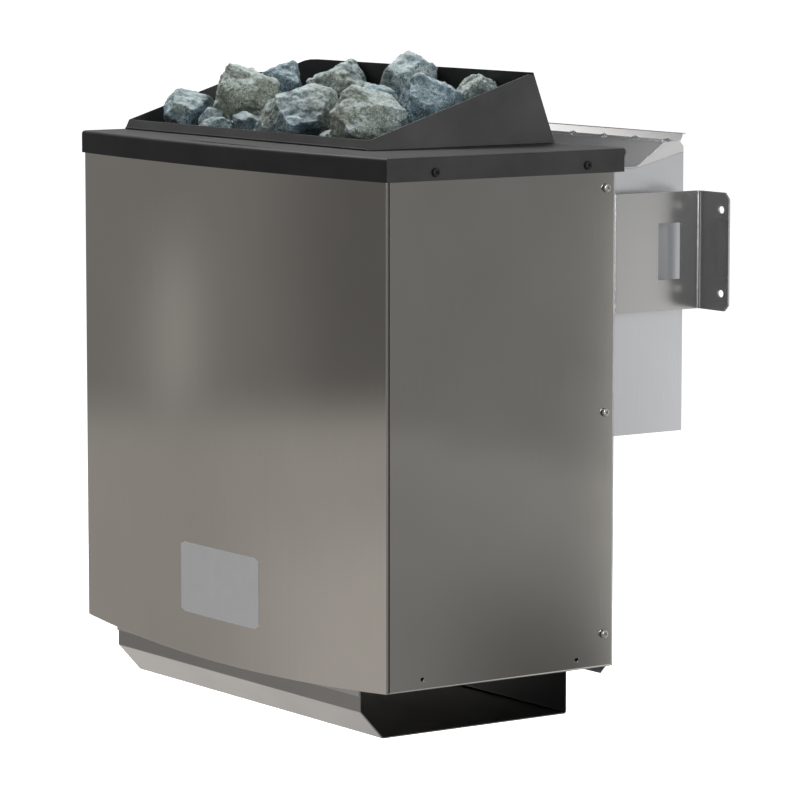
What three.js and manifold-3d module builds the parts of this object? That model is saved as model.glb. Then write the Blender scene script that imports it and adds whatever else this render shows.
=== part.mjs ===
// Wall-hung sauna heater with a basket of stones on top and a steam evaporator on its back.
// Millimetres, +Z up. X runs to the right of someone who faces the heater, Y from the room to the wall.
// Inside the heater group Y = 0 is the line between the casing's front corners and Z = 0 the lower corner
// of its panels. The group stands so that the wall is at Y = 0 and the air tray's underside at Z = 0.
import * as THREE from 'three';
import { mergeVertices } from 'three/addons/utils/BufferGeometryUtils.js';
import Module from 'manifold-3d';

const wasm = await Module();
wasm.setup();

// Air left between pieces that touch
const SEAM = 0.3;

// Casing, over its outer faces
const CASING_WIDTH = 520;
const CASING_DEPTH = 250;
const CASING_HEIGHT = 455;
const FRONT_BOW = 14;
const FRONT_ARCH = 8;
const PANEL_SHEET = 1.2;
const PANEL_FLANGE = 16;
const PANEL_BEND = 1;
const WALL_GAP = 107;
const BACK_STEP = 3.5;
const BACK_LIP = 9.9;
const BACK_LIP_INSET = 10;
const SIDE_HOLE_DIAMETER = 4;
const SIDE_HOLE_HEIGHT = 10;
const SIDE_HOLE_FRONT = 38;
const SIDE_HOLE_REAR = 40;

// Screws in the casing
const SCREW_DIAMETER = 4;
const SCREW_LENGTH = 9;
const SCREW_HEAD_DIAMETER = 8;
const SCREW_HEAD_HEIGHT = 2.8;
const SCREW_HEAD_ROUND = 1.4;
const SIDE_SCREW_INSET = 9;
const SIDE_SCREW_LOW = 31;
const SIDE_SCREW_TOP_INSET = 14;
const SIDE_SCREW_COUNT = 3;

// Top cap
const CAP_SHEET = 1.5;
const CAP_SKIRT = 21.5;
const CAP_EDGE_RADIUS = 3;
const CAP_REAR_OVERHANG = 8.5;
const CAP_NOTCH = 3;
const CAP_SCREW_DROP = 13.8;
const CAP_SCREW_FRONT = 50;
const CAP_SCREW_REAR = 32;
const CAP_SLIT_LENGTH = 184;
const CAP_SLIT_WIDTH = 5;

// Stone guard on the cap
const GUARD_SHEET = 1.5;
const GUARD_LEFT_INSET = 7.5;
const GUARD_RIGHT_INSET = 95;
const GUARD_FRONT_INSET = 42;
const GUARD_LIP_HEIGHT = 9;
const GUARD_LIP_LEAN = 4.5;
const GUARD_REAR_HEIGHT = 65.5;
const GUARD_REAR_LEAN = 24.5;
const GUARD_CORNER_RADIUS = 7;
const GUARD_SHOULDER_DROP = 14;
const GUARD_SHOULDER_RUN = 58;
const GUARD_FLANGE = 12;
const GUARD_REAR_FLANGE = 22;

// Bottom pan and the air tray under it
const PAN_SHEET = 1.2;
const PAN_SETBACK = 3;
const PAN_SIDE_FLANGE = 18;
const PAN_LIP = 9.4;
const PAN_OPENING_INSET = 40;
const TRAY_SHEET = 1.2;
const TRAY_END_INSET = 50;
const TRAY_LIP = 24;
const TRAY_DEPTH = 51;
const TRAY_SLANT_RUN = 24.5;
const TRAY_REAR_INSET = 13.5;
const TRAY_BEND = 1.5;

// Heating shaft, heat shield and grate
const SHAFT_SHEET = 1.2;
const SHIELD_SHEET = 1;
const SHIELD_BEND = 2;
const SHIELD_GAP_LEFT = 8;
const SHIELD_GAP_FRONT = 22;
const SHIELD_GAP_RIGHT = 24;
const SHIELD_TOP_GAP = 12;
const GRATE_DROP = 21;
const GRATE_ROD = 8;
const GRATE_PITCH = 26;
const GRATE_RAIL_WIDTH = 5;
const GRATE_RAIL_HEIGHT = 20;
const GRATE_RAIL_INSET = 35;
const GRATE_RAIL_END = 5;

// Heating elements and their connection
const ELEMENT_DIAMETER = 8;
const ELEMENT_WALL_GAP = 36.75;
const ELEMENT_HEIGHT = 105;
const ELEMENT_RUNS = 4;
const ELEMENT_PITCH = 60;
const ELEMENT_BEND = 26;
const ELEMENT_LEFT_GAP = 25;
const ELEMENT_RIGHT_GAP = 45;
const ELEMENT_PIN = 34;
const PLATE_SHEET = 3;
const PLATE_MARGIN = 20;
const PLATE_LAP = 9;
const SHIELD_WINDOW_GAP = 6;
const CARRIER_SHEET = 1.5;
const CARRIER_BEND = 1;
const CARRIER_FOOT = 46;
const CARRIER_HEIGHT = 70;
const CARRIER_LENGTH = 130;
const CARRIER_SIDE_GAP = 14;
const BLOCK_POLES = 5;
const BLOCK_POLE_WIDTH = 16;
const BLOCK_RIB = 2.5;
const BLOCK_HEIGHT = 30;
const BLOCK_WELL = 12;
const BLOCK_DEPTH = 28;
const GLAND_BORE = 13;
const GLAND_THREAD = 20;
const GLAND_NUT = 27;
const GLAND_NUT_LENGTH = 5;
const GLAND_DOME_LENGTH = 17;
const GLAND_SIDE_INSET = 60;
const GLAND_HEIGHT = 60;

// Wall brackets
const BRACKET_SHEET = 2;
const BRACKET_BEND = 3;
const BRACKET_SIDE_INSET = 6.8;
const BRACKET_TAB = 28;
const BRACKET_FLANGE = 42.3;
const BRACKET_LOW = 324.3;
const BRACKET_HEIGHT = 109.4;
const BRACKET_CHAMFER = 6;
const BRACKET_WINDOW_WIDTH = 26.5;
const BRACKET_WINDOW_HEIGHT = 52;
const BRACKET_WINDOW_WALL_GAP = 23.5;
const BRACKET_SLOT_WIDTH = 8.6;
const BRACKET_SLOT_HEIGHT = 6.7;
const BRACKET_SLOT_EDGE = 11;
const BRACKET_SLOT_PITCH = 77.2;
const BRACKET_SCREW_EDGE = 12;

// Evaporator
const TANK_WIDTH = 470;
const TANK_SHEET = 1.2;
const TANK_BEND = 2;
const TANK_GAP = 11.5;
const TANK_WALL_GAP = 7;
const TANK_LOW = 209;
const TANK_HEIGHT = 246.6;
const TANK_FLAT = 31;
const TANK_RISE = 13;
const RAIL_SHEET = 1.2;
const RAIL_BEND = 1;
const RAIL_LENGTH = 300;
const RAIL_FLANGE = 14;
const RAIL_LOW = 30;
const RAIL_PITCH = 150;
const HEATER_DIAMETER = 8;
const HEATER_HEIGHT = 26;
const HEATER_SPREAD = 40;
const HEATER_BEND = 18;
const HEATER_END_GAP = 55;
const HEATER_PIN = 16;
const DRAIN_DIAMETER = 15;
const DRAIN_BORE = 10;
const DRAIN_COLLAR = 24;
const DRAIN_COLLAR_LENGTH = 4;
const DRAIN_LENGTH = 26;
const DRAIN_SIDE_INSET = 60;

// Herb tray on the evaporator
const HERB_SHEET = 1;
const HERB_BEND = 0.5;
const HERB_FRONT_LIP = 9;
const HERB_SLOPE_RUN = 31;
const HERB_SLOPE_RISE = 21;
const HERB_RIM_HEIGHT = 7;
const HERB_RIM_LEAN = 4;
const HERB_HEM = 3;
const HERB_STEAM_SLOT_LENGTH = 30;
const HERB_STEAM_SLOT_WIDTH = 5;
const HERB_STEAM_SLOT_PITCH = 50;

// Stones in the order in which they are laid: place from left to right and from front to rear as a share
// of the basket, radius in height, and breadth as a share of height. Each comes to rest on the grate or on
// the stones laid before it.
const STONES = [
  [0.18, 0.36, 27, 1.05],
  [0.529, 0.34, 21, 1.1],
  [0.79, 0.36, 24, 1.05],
  [0.9, 0.625, 26, 1.05],
  [0.172, 0.71, 29, 1.05],
  [0.354, 0.72, 29, 1.1],
  [0.683, 0.56, 29, 1.05],
  [0.594, 0.795, 32, 1],
  [0.826, 0.85, 29, 1.05],
  [0.309, 0.12, 15, 2],
  [0.112, 0.22, 17, 1.55],
  [0.6, 0.19, 25, 1.6],
  [0.855, 0.22, 26, 1.25],
  [0.24, 0.345, 22.5, 1.25],
  [0.857, 0.52, 24, 1.2],
  [0.146, 0.66, 20, 1.1],
  [0.328, 0.76, 18, 1.6],
  [0.842, 0.82, 18, 1.25],
  [0.661, 0.5, 13, 1.5],
  [0.613, 0.76, 22, 1.25],
];
const STONE_GAP = 0.4;
const STONE_FACETS = 12;
const STONE_SETTLING = 0.82;
const STONE_LEAST_REACH = 0.86;
const STONE_SPREAD = 0.24;

// Levels and faces that several pieces share
const halfCasing = CASING_WIDTH / 2;
const innerHalf = halfCasing - PANEL_SHEET - SEAM;
const capTop = CASING_HEIGHT + CAP_SKIRT;
const capUnder = capTop - CAP_SHEET;
const panelTop = capUnder - SEAM;
const backFace = CASING_DEPTH + BACK_STEP;
const backInside = backFace - PANEL_SHEET;
const capRear = backFace + CAP_REAR_OVERHANG;
const wallFace = CASING_DEPTH + WALL_GAP;
const panUnder = PANEL_SHEET + SEAM;
const panTop = panUnder + PAN_SHEET;
const standing = panTop + SEAM;
const guard = {
  left: -halfCasing + GUARD_LEFT_INSET,
  right: halfCasing - GUARD_RIGHT_INSET,
  front: GUARD_FRONT_INSET,
  rear: backFace,
  base: capTop + SEAM,
};
const opening = {
  left: guard.left + GUARD_FLANGE,
  right: guard.right - GUARD_FLANGE,
  front: guard.front + GUARD_FLANGE,
  rear: guard.rear - GUARD_REAR_FLANGE,
};
const shaft = {
  left: opening.left - SHAFT_SHEET,
  right: opening.right + SHAFT_SHEET,
  front: opening.front - SHAFT_SHEET,
  rear: opening.rear + SHAFT_SHEET,
};
const grateTop = capTop - GRATE_DROP;
const screwRadius = SCREW_DIAMETER / 2;
const screwHole = screwRadius + SEAM;

// Solids: a closed geometry with merged vertices, and back again
function solid(geometry) {
  const bare = geometry.clone();
  bare.deleteAttribute('normal');
  bare.deleteAttribute('uv');
  const merged = mergeVertices(bare, 1e-4);
  const vertProperties = new Float32Array(merged.attributes.position.array);
  const triVerts = new Uint32Array(merged.index.array);
  return new wasm.Manifold(new wasm.Mesh({ numProp: 3, vertProperties, triVerts }));
}

function geometryOf(body) {
  const mesh = body.getMesh();
  const geometry = new THREE.BufferGeometry();
  geometry.setAttribute('position', new THREE.BufferAttribute(new Float32Array(mesh.vertProperties), 3));
  geometry.setIndex(new THREE.BufferAttribute(new Uint32Array(mesh.triVerts), 1));
  geometry.computeVertexNormals();
  return geometry;
}

function joined(first, ...others) {
  return others.reduce((body, other) => body.add(other), first);
}

function cutBy(first, ...others) {
  return others.reduce((body, other) => body.subtract(other), first);
}

function mirrored(body) {
  const geometry = geometryOf(body);
  geometry.applyMatrix4(new THREE.Matrix4().makeScale(-1, 1, 1));
  geometry.index.array.reverse();
  return solid(geometry);
}

function block(x0, x1, y0, y1, z0, z1) {
  const geometry = new THREE.BoxGeometry(x1 - x0, y1 - y0, z1 - z0);
  return solid(geometry.translate((x0 + x1) / 2, (y0 + y1) / 2, (z0 + z1) / 2));
}

// Outlines: a polygon, a rounded path and a folded sheet seen on its edge
function polygon(points) {
  return new THREE.Shape(points.map(([a, b]) => new THREE.Vector2(a, b)));
}

function traceRounded(shape, points, radii) {
  points.forEach(([a, b], i) => {
    const corner = new THREE.Vector2(a, b);
    if (!radii[i]) {
      shape.lineTo(a, b);
      return;
    }
    const along = corner.clone().sub(new THREE.Vector2(...points[i - 1])).normalize();
    const away = new THREE.Vector2(...points[i + 1]).sub(corner).normalize();
    const turn = Math.atan2(along.cross(away), along.dot(away));
    const side = Math.sign(turn);
    const start = corner.clone().addScaledVector(along, -radii[i] * Math.tan(Math.abs(turn) / 2));
    const centre = start.clone().add(new THREE.Vector2(-along.y, along.x).multiplyScalar(side * radii[i]));
    const from = Math.atan2(start.y - centre.y, start.x - centre.x);
    shape.absarc(centre.x, centre.y, radii[i], from, from + turn, side < 0);
  });
}

function foldedSheet(points, sheet, bend) {
  const path = points.map(([a, b]) => new THREE.Vector2(a, b));
  const heading = path.slice(1).map((point, i) => point.clone().sub(path[i]).normalize());
  const offset = [];
  const nearRadii = [];
  const farRadii = [];
  path.forEach((point, i) => {
    const before = heading[Math.max(i - 1, 0)];
    const after = heading[Math.min(i, heading.length - 1)];
    const normal = new THREE.Vector2(-before.y - after.y, before.x + after.x).normalize();
    const reach = sheet / normal.dot(new THREE.Vector2(-after.y, after.x));
    offset.push([point.x + normal.x * reach, point.y + normal.y * reach]);
    const turn = before.cross(after) * Math.sign(sheet);
    const bends = Math.abs(turn) > 1e-6;
    nearRadii.push(bends ? bend + (turn > 0 ? Math.abs(sheet) : 0) : 0);
    farRadii.push(bends ? bend + (turn > 0 ? 0 : Math.abs(sheet)) : 0);
  });
  const shape = new THREE.Shape();
  shape.moveTo(...points[0]);
  traceRounded(shape, points, nearRadii);
  traceRounded(shape, offset.reverse(), farRadii.reverse());
  shape.closePath();
  return shape;
}

// Straight pulls of an outline: (y, z) along X, (x, z) along Y and (x, y) along Z
function pull(shape, length, curveSegments, options = {}) {
  return new THREE.ExtrudeGeometry(shape, { depth: length, bevelEnabled: false, curveSegments, ...options });
}

function alongX(shape, x0, x1, curveSegments = 4) {
  const axes = new THREE.Matrix4().makeBasis(
    new THREE.Vector3(0, 1, 0),
    new THREE.Vector3(0, 0, 1),
    new THREE.Vector3(1, 0, 0),
  );
  return solid(pull(shape, x1 - x0, curveSegments).applyMatrix4(axes).translate(x0, 0, 0));
}

function alongY(shape, y0, y1, curveSegments = 4) {
  return solid(pull(shape, y1 - y0, curveSegments).rotateX(Math.PI / 2).translate(0, y1, 0));
}

function alongZ(shape, z0, z1, curveSegments = 4) {
  return solid(pull(shape, z1 - z0, curveSegments).translate(0, 0, z0));
}

function circle(a, b, radius) {
  return new THREE.Shape().absarc(a, b, radius, 0, 2 * Math.PI);
}

// Round holes, whose flats clear the given radius
const BORE_SIDES = 12;

function bore(a, b, radius) {
  return circle(a, b, radius / Math.cos(Math.PI / BORE_SIDES));
}

function boreX([y, z], radius, x0, x1) {
  return alongX(bore(y, z, radius), x0, x1, BORE_SIDES / 2);
}

function boreY([x, z], radius, y0, y1) {
  return alongY(bore(x, z, radius), y0, y1, BORE_SIDES / 2);
}

function boreZ([x, y], radius, z0, z1) {
  return alongZ(bore(x, y, radius), z0, z1, BORE_SIDES / 2);
}

function roundedSlot(a, b, width, height) {
  const radius = Math.min(width, height) / 2;
  const runA = width / 2 - radius;
  const runB = height / 2 - radius;
  const shape = new THREE.Shape();
  shape.absarc(a + runA, b + runB, radius, 0, Math.PI / 2);
  shape.absarc(a - runA, b + runB, radius, Math.PI / 2, Math.PI);
  shape.absarc(a - runA, b - runB, radius, Math.PI, Math.PI * 1.5);
  shape.absarc(a + runA, b - runB, radius, Math.PI * 1.5, Math.PI * 2);
  return shape;
}

// A tube of straight runs and round bends, with rings only where it turns
class BentPath extends THREE.Curve {
  constructor(corners, radius, bendSteps) {
    super();
    this.rings = [];
    corners.forEach((corner, i) => {
      const before = corners[i - 1];
      const after = corners[i + 1];
      if (!before || !after) {
        const tangent = before ? corner.clone().sub(before) : after.clone().sub(corner);
        this.rings.push({ point: corner, tangent: tangent.normalize() });
        return;
      }
      const along = corner.clone().sub(before).normalize();
      const away = after.clone().sub(corner).normalize();
      const turn = along.angleTo(away);
      const inward = away.clone().addScaledVector(along, -Math.cos(turn)).normalize();
      const start = corner.clone().addScaledVector(along, -radius * Math.tan(turn / 2));
      for (let step = 0; step <= bendSteps; step += 1) {
        const angle = (turn * step) / bendSteps;
        const point = start.clone().addScaledVector(along, radius * Math.sin(angle));
        point.addScaledVector(inward, radius * (1 - Math.cos(angle)));
        const tangent = along.clone().multiplyScalar(Math.cos(angle));
        this.rings.push({ point, tangent: tangent.addScaledVector(inward, Math.sin(angle)) });
      }
    });
  }

  ringAt(share) {
    return this.rings[Math.round(share * (this.rings.length - 1))];
  }

  getPointAt(share) {
    return this.ringAt(share).point.clone();
  }

  getTangentAt(share) {
    return this.ringAt(share).tangent.clone();
  }
}

const TUBE_SIDES = 8;
const TUBE_BEND_STEPS = 5;

function bentTube(corners, bend, diameter) {
  const path = new BentPath(corners, bend, TUBE_BEND_STEPS);
  return solid(new THREE.ExtrudeGeometry(circle(0, 0, diameter / 2), {
    steps: path.rings.length - 1,
    extrudePath: path,
    curveSegments: TUBE_SIDES / 2,
    bevelEnabled: false,
  }));
}

// Turned pieces, standing on Z
const TURNED_SIDES = 12;

function turned(profile) {
  const points = profile.map(([r, z]) => new THREE.Vector2(r, z));
  return new THREE.LatheGeometry(points, TURNED_SIDES).rotateX(Math.PI / 2);
}

// The front's bow: arcs round one centre, for the panel and for the skirt in front of it
const bowRadius = (halfCasing * halfCasing + FRONT_BOW * FRONT_BOW) / (2 * FRONT_BOW);
const bowCentre = bowRadius - FRONT_BOW;

function frontLine(x, offset) {
  return bowCentre - Math.sqrt((bowRadius + offset) ** 2 - x * x);
}

function traceFront(shape, fromX, toX, offset) {
  const angle = (x) => Math.atan2(frontLine(x, offset) - bowCentre, x);
  shape.absarc(0, bowCentre, bowRadius + offset, angle(fromX), angle(toX), toX < fromX);
}

function bowedOutline(half, rear, offset) {
  const shape = new THREE.Shape();
  shape.moveTo(half, rear);
  shape.lineTo(-half, rear);
  shape.lineTo(-half, frontLine(half, offset));
  traceFront(shape, -half, half, offset);
  shape.closePath();
  return shape;
}

const BOW_SEGMENTS = 12;

// Front panel: bowed sheet with turned-back edges inside the side panels and an arched lower edge
function frontPanel() {
  const inside = innerHalf - PANEL_SHEET;
  const plan = new THREE.Shape();
  plan.moveTo(-innerHalf, PANEL_FLANGE);
  plan.lineTo(-innerHalf, frontLine(innerHalf, 0));
  traceFront(plan, -innerHalf, innerHalf, 0);
  plan.lineTo(innerHalf, PANEL_FLANGE);
  plan.lineTo(inside, PANEL_FLANGE);
  plan.lineTo(inside, frontLine(inside, -PANEL_SHEET));
  traceFront(plan, inside, -inside, -PANEL_SHEET);
  plan.lineTo(-inside, PANEL_FLANGE);
  plan.closePath();
  const sheet = alongZ(plan, -FRONT_ARCH, panelTop, BOW_SEGMENTS);
  const archRadius = (innerHalf * innerHalf + FRONT_ARCH * FRONT_ARCH) / (2 * FRONT_ARCH);
  const archAngle = Math.asin(innerHalf / archRadius);
  const face = new THREE.Shape();
  face.moveTo(innerHalf, panelTop);
  face.lineTo(-innerHalf, panelTop);
  face.absarc(0, archRadius - FRONT_ARCH, archRadius, -Math.PI / 2 - archAngle, -Math.PI / 2 + archAngle);
  face.closePath();
  const trimmed = sheet.intersect(alongY(face, -2 * FRONT_BOW, PANEL_FLANGE + SEAM, BOW_SEGMENTS));
  const flangeFront = frontLine(inside, -PANEL_SHEET) + PANEL_SHEET;
  const below = block(-halfCasing, halfCasing, flangeFront, 2 * PANEL_FLANGE, -2 * FRONT_ARCH, standing);
  return cutBy(trimmed, below);
}

// Side panel: flat sheet with its lower edge turned in under the pan, and holes for its screws
function sideScrewPlaces() {
  const pitch = (CASING_HEIGHT - SIDE_SCREW_TOP_INSET - SIDE_SCREW_LOW) / (SIDE_SCREW_COUNT - 1);
  return Array.from({ length: SIDE_SCREW_COUNT }, (_, row) => {
    return [CASING_DEPTH - SIDE_SCREW_INSET, SIDE_SCREW_LOW + row * pitch];
  });
}

function capScrewPlaces() {
  const z = capTop - CAP_SCREW_DROP;
  return [[CAP_SCREW_FRONT, z], [CASING_DEPTH - CAP_SCREW_REAR, z]];
}

function sideHolePlaces() {
  return [
    [SIDE_HOLE_FRONT, SIDE_HOLE_HEIGHT],
    [CASING_DEPTH - SIDE_HOLE_REAR, SIDE_HOLE_HEIGHT],
  ];
}

function holesAcross(places, radius, x0, x1) {
  return places.map((place) => boreX(place, radius, x0, x1));
}

function rightSidePanel() {
  const face = halfCasing - PANEL_SHEET;
  const section = foldedSheet(
    [[face - PANEL_FLANGE, 0], [halfCasing, 0], [halfCasing, panelTop]],
    PANEL_SHEET,
    PANEL_BEND,
  );
  const sheet = alongY(section, PAN_SETBACK, CASING_DEPTH);
  const reach = [face - SEAM, halfCasing + SEAM];
  return cutBy(
    sheet,
    ...holesAcross(sideScrewPlaces(), screwHole, ...reach),
    ...holesAcross(capScrewPlaces(), screwHole, ...reach),
    ...holesAcross(sideHolePlaces(), SIDE_HOLE_DIAMETER / 2, ...reach),
  );
}

// Back panel: sheet with edges turned forward behind the side panels and a lip with cut corners below
function bracketScrewHeights() {
  return [BRACKET_LOW + BRACKET_SCREW_EDGE, BRACKET_LOW + BRACKET_HEIGHT - BRACKET_SCREW_EDGE];
}

function bracketScrewX() {
  return halfCasing - BRACKET_SIDE_INSET - BRACKET_TAB / 2 - BRACKET_SHEET;
}

const glandX = halfCasing - GLAND_SIDE_INSET;

function backPanel() {
  const edgeFront = backFace - PANEL_FLANGE;
  const plan = foldedSheet(
    [[innerHalf, edgeFront], [innerHalf, backFace], [-innerHalf, backFace], [-innerHalf, edgeFront]],
    PANEL_SHEET,
    PANEL_BEND,
  );
  const lipHalf = halfCasing - BACK_LIP_INSET;
  const face = polygon([
    [innerHalf, panelTop],
    [-innerHalf, panelTop],
    [-innerHalf, 0],
    [-lipHalf, 0],
    [-lipHalf + BACK_LIP, -BACK_LIP],
    [lipHalf - BACK_LIP, -BACK_LIP],
    [lipHalf, 0],
    [innerHalf, 0],
  ]);
  const sheet = alongZ(plan, -BACK_LIP, panelTop).intersect(alongY(face, edgeFront - SEAM, backFace + SEAM));
  const holes = [-1, 1].flatMap((side) => bracketScrewHeights().map((z) => {
    return boreY([side * bracketScrewX(), z], screwHole, backInside - SEAM, backFace + SEAM);
  }));
  const sides = [-1, 1].flatMap((side) => {
    const edge = side * innerHalf;
    return holesAcross(sideScrewPlaces(), screwHole, edge - 2 * PANEL_SHEET, edge + 2 * PANEL_SHEET);
  });
  return cutBy(
    sheet,
    block(-halfCasing, halfCasing, edgeFront - SEAM, backInside, -2 * BACK_LIP, standing),
    boreY([glandX, GLAND_HEIGHT], GLAND_THREAD / 2 + SEAM, backInside - SEAM, backFace + SEAM),
    ...holes,
    ...sides,
  );
}

// Bottom pan: plate on the side panels' lower edges, with turned-up sides, an air opening,
// and lips in front and behind that carry the air tray
const trayHalf = halfCasing - TRAY_END_INSET;
const trayFront = PAN_SETBACK + PAN_SHEET + SEAM;
const trayRear = CASING_DEPTH - TRAY_REAR_INSET;
const panRear = backInside - SEAM;

function bottomPan() {
  const plate = block(-innerHalf, innerHalf, PAN_SETBACK, panRear, panUnder, panTop);
  const sideFrom = PANEL_FLANGE + SEAM;
  const sideTo = backFace - PANEL_FLANGE - SEAM;
  const inner = innerHalf - PAN_SHEET;
  const right = cutBy(
    block(inner, innerHalf, sideFrom, sideTo, panUnder, panTop + PAN_SIDE_FLANGE),
    ...holesAcross(sideHolePlaces(), SIDE_HOLE_DIAMETER / 2, inner - SEAM, innerHalf + SEAM),
  );
  const rearLip = trayRear + SEAM;
  return cutBy(
    joined(
      plate,
      right,
      mirrored(right),
      block(-trayHalf, trayHalf, PAN_SETBACK, PAN_SETBACK + PAN_SHEET, -PAN_LIP, panTop),
      block(-trayHalf, trayHalf, rearLip, rearLip + PAN_SHEET, -PAN_LIP, panTop),
    ),
    block(
      opening.left + PAN_OPENING_INSET,
      opening.right - PAN_OPENING_INSET,
      opening.front,
      opening.rear,
      panUnder - SEAM,
      panTop + SEAM,
    ),
  );
}

// Air tray: channel folded from one sheet, open at both ends, hung between the pan's lips
function airTray() {
  const top = panUnder - SEAM;
  const section = foldedSheet(
    [
      [trayFront, top],
      [trayFront, -TRAY_LIP],
      [trayFront + TRAY_SLANT_RUN, -TRAY_DEPTH],
      [trayRear, -TRAY_DEPTH],
      [trayRear, top],
    ],
    TRAY_SHEET,
    TRAY_BEND,
  );
  return alongX(section, -trayHalf, trayHalf);
}

// Top cap: drawn sheet with a skirt all round, a mouth for the stones and a lens-shaped slit in front
function topCap() {
  const outerHalf = halfCasing + SEAM + CAP_SHEET;
  const inset = CAP_EDGE_RADIUS;
  const bevel = { bevelEnabled: true, bevelSize: inset, bevelThickness: inset, bevelSegments: 3 };
  const outline = bowedOutline(outerHalf - inset, capRear - inset, SEAM + CAP_SHEET - inset);
  const height = CAP_SKIRT + 2 * inset;
  const pulled = pull(outline, height, BOW_SEGMENTS, bevel);
  const shell = solid(pulled.translate(0, 0, capTop - inset - height));
  const room = bowedOutline(halfCasing + SEAM, capRear - CAP_SHEET, SEAM);
  const roomBelow = CASING_HEIGHT - 4 * inset;
  const outside = 2 * CASING_WIDTH;
  const slit = new THREE.Shape();
  const slitHalf = CAP_SLIT_LENGTH / 2;
  const slitRadius = (slitHalf * slitHalf + CAP_SLIT_WIDTH * CAP_SLIT_WIDTH) / (2 * CAP_SLIT_WIDTH);
  const slitAngle = Math.asin(slitHalf / slitRadius);
  const down = -Math.PI / 2;
  slit.absarc(0, slitRadius - CAP_SLIT_WIDTH, slitRadius, down - slitAngle, down + slitAngle);
  slit.closePath();
  const notches = [-1, 1].map((side) => block(
    side * outerHalf - CAP_NOTCH,
    side * outerHalf + CAP_NOTCH,
    capRear - CAP_SHEET,
    capRear + CAP_NOTCH,
    roomBelow,
    capTop - 2 * CAP_NOTCH,
  ));
  const screws = [-1, 1].flatMap((side) => {
    const skirt = side * outerHalf;
    return holesAcross(capScrewPlaces(), screwHole, skirt - 2 * CAP_SHEET, skirt + 2 * CAP_SHEET);
  });
  return cutBy(
    shell,
    block(-outside, outside, -outside, outside, -outside, CASING_HEIGHT),
    alongZ(room, roomBelow, capUnder, BOW_SEGMENTS),
    block(opening.left, opening.right, opening.front, opening.rear, capUnder - SEAM, capTop + SEAM),
    alongZ(slit, capUnder - SEAM, capTop + SEAM, 8),
    ...notches,
    ...screws,
  );
}

// Stone guard: four sheet walls on a flange that lies on the cap round its mouth
function guardSide(rearDrop, cornerRadius) {
  const top = guard.base + GUARD_REAR_HEIGHT - rearDrop;
  const lipTop = guard.base + GUARD_LIP_HEIGHT;
  const lipY = guard.front + GUARD_LIP_LEAN;
  const lean = GUARD_REAR_LEAN / GUARD_REAR_HEIGHT;
  const rise = (GUARD_REAR_HEIGHT - GUARD_LIP_HEIGHT) / (guard.rear - GUARD_REAR_LEAN - lipY);
  const rearTop = [guard.rear - (top - guard.base) * lean, top];
  const shoulder = lipY + (top - lipTop) / rise;
  const points = [[guard.front, guard.base], [guard.rear, guard.base], rearTop];
  const radii = [0, 0, cornerRadius];
  if (rearDrop > 0) {
    points.push([shoulder, top]);
    radii.push(0);
  }
  points.push([lipY, lipTop], [guard.front, guard.base]);
  radii.push(0, 0);
  const shape = new THREE.Shape();
  shape.moveTo(guard.front, guard.base);
  traceRounded(shape, points, radii);
  return shape;
}

function stoneGuard() {
  const flangeTop = guard.base + GUARD_SHEET;
  const flange = cutBy(
    block(guard.left, guard.right, guard.front, guard.rear, guard.base, flangeTop),
    block(opening.left, opening.right, opening.front, opening.rear, guard.base - SEAM, flangeTop + SEAM),
  );
  const lip = polygon([
    [guard.front, guard.base],
    [guard.front + GUARD_SHEET, guard.base],
    [guard.front + GUARD_LIP_LEAN + GUARD_SHEET, guard.base + GUARD_LIP_HEIGHT],
    [guard.front + GUARD_LIP_LEAN, guard.base + GUARD_LIP_HEIGHT],
  ]);
  const rearTop = guard.base + GUARD_REAR_HEIGHT;
  const rear = polygon([
    [guard.rear, guard.base],
    [guard.rear - GUARD_REAR_LEAN, rearTop],
    [guard.rear - GUARD_REAR_LEAN - GUARD_SHEET, rearTop],
    [guard.rear - GUARD_SHEET, guard.base],
  ]);
  const rearFace = new THREE.Shape();
  const shoulderZ = rearTop - GUARD_SHOULDER_DROP;
  rearFace.moveTo(guard.left, guard.base);
  rearFace.lineTo(guard.right, guard.base);
  rearFace.lineTo(guard.right, rearTop);
  rearFace.lineTo(guard.left + GUARD_SHOULDER_RUN, rearTop);
  rearFace.quadraticCurveTo(guard.left + GUARD_SHOULDER_RUN / 2, rearTop, guard.left, shoulderZ);
  rearFace.closePath();
  const rearSheet = alongX(rear, guard.left, guard.right);
  return joined(
    flange,
    alongX(lip, guard.left, guard.right),
    rearSheet.intersect(alongY(rearFace, guard.front, guard.rear + SEAM, 5)),
    alongX(guardSide(0, GUARD_CORNER_RADIUS), guard.right - GUARD_SHEET, guard.right),
    alongX(guardSide(GUARD_SHOULDER_DROP, 0), guard.left, guard.left + GUARD_SHEET),
  );
}

// Heating shaft: duct from the pan's air opening to the cap's mouth, with slots for the grate's rails
// and a window for the ends of the elements
const railY = [opening.front + GRATE_RAIL_INSET, opening.rear - GRATE_RAIL_INSET];
const railTop = grateTop - GRATE_ROD / 2;
const elementBase = standing + ELEMENT_HEIGHT;
const elementTop = elementBase + (ELEMENT_RUNS - 1) * ELEMENT_PITCH;
const middleY = (opening.front + opening.rear) / 2;
const elementPlaces = [opening.front + ELEMENT_WALL_GAP, middleY, opening.rear - ELEMENT_WALL_GAP];
const plateRange = {
  front: elementPlaces[0] - PLATE_MARGIN,
  rear: elementPlaces[2] + PLATE_MARGIN,
  low: elementBase - PLATE_MARGIN,
  high: elementTop + PLATE_MARGIN,
};

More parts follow.
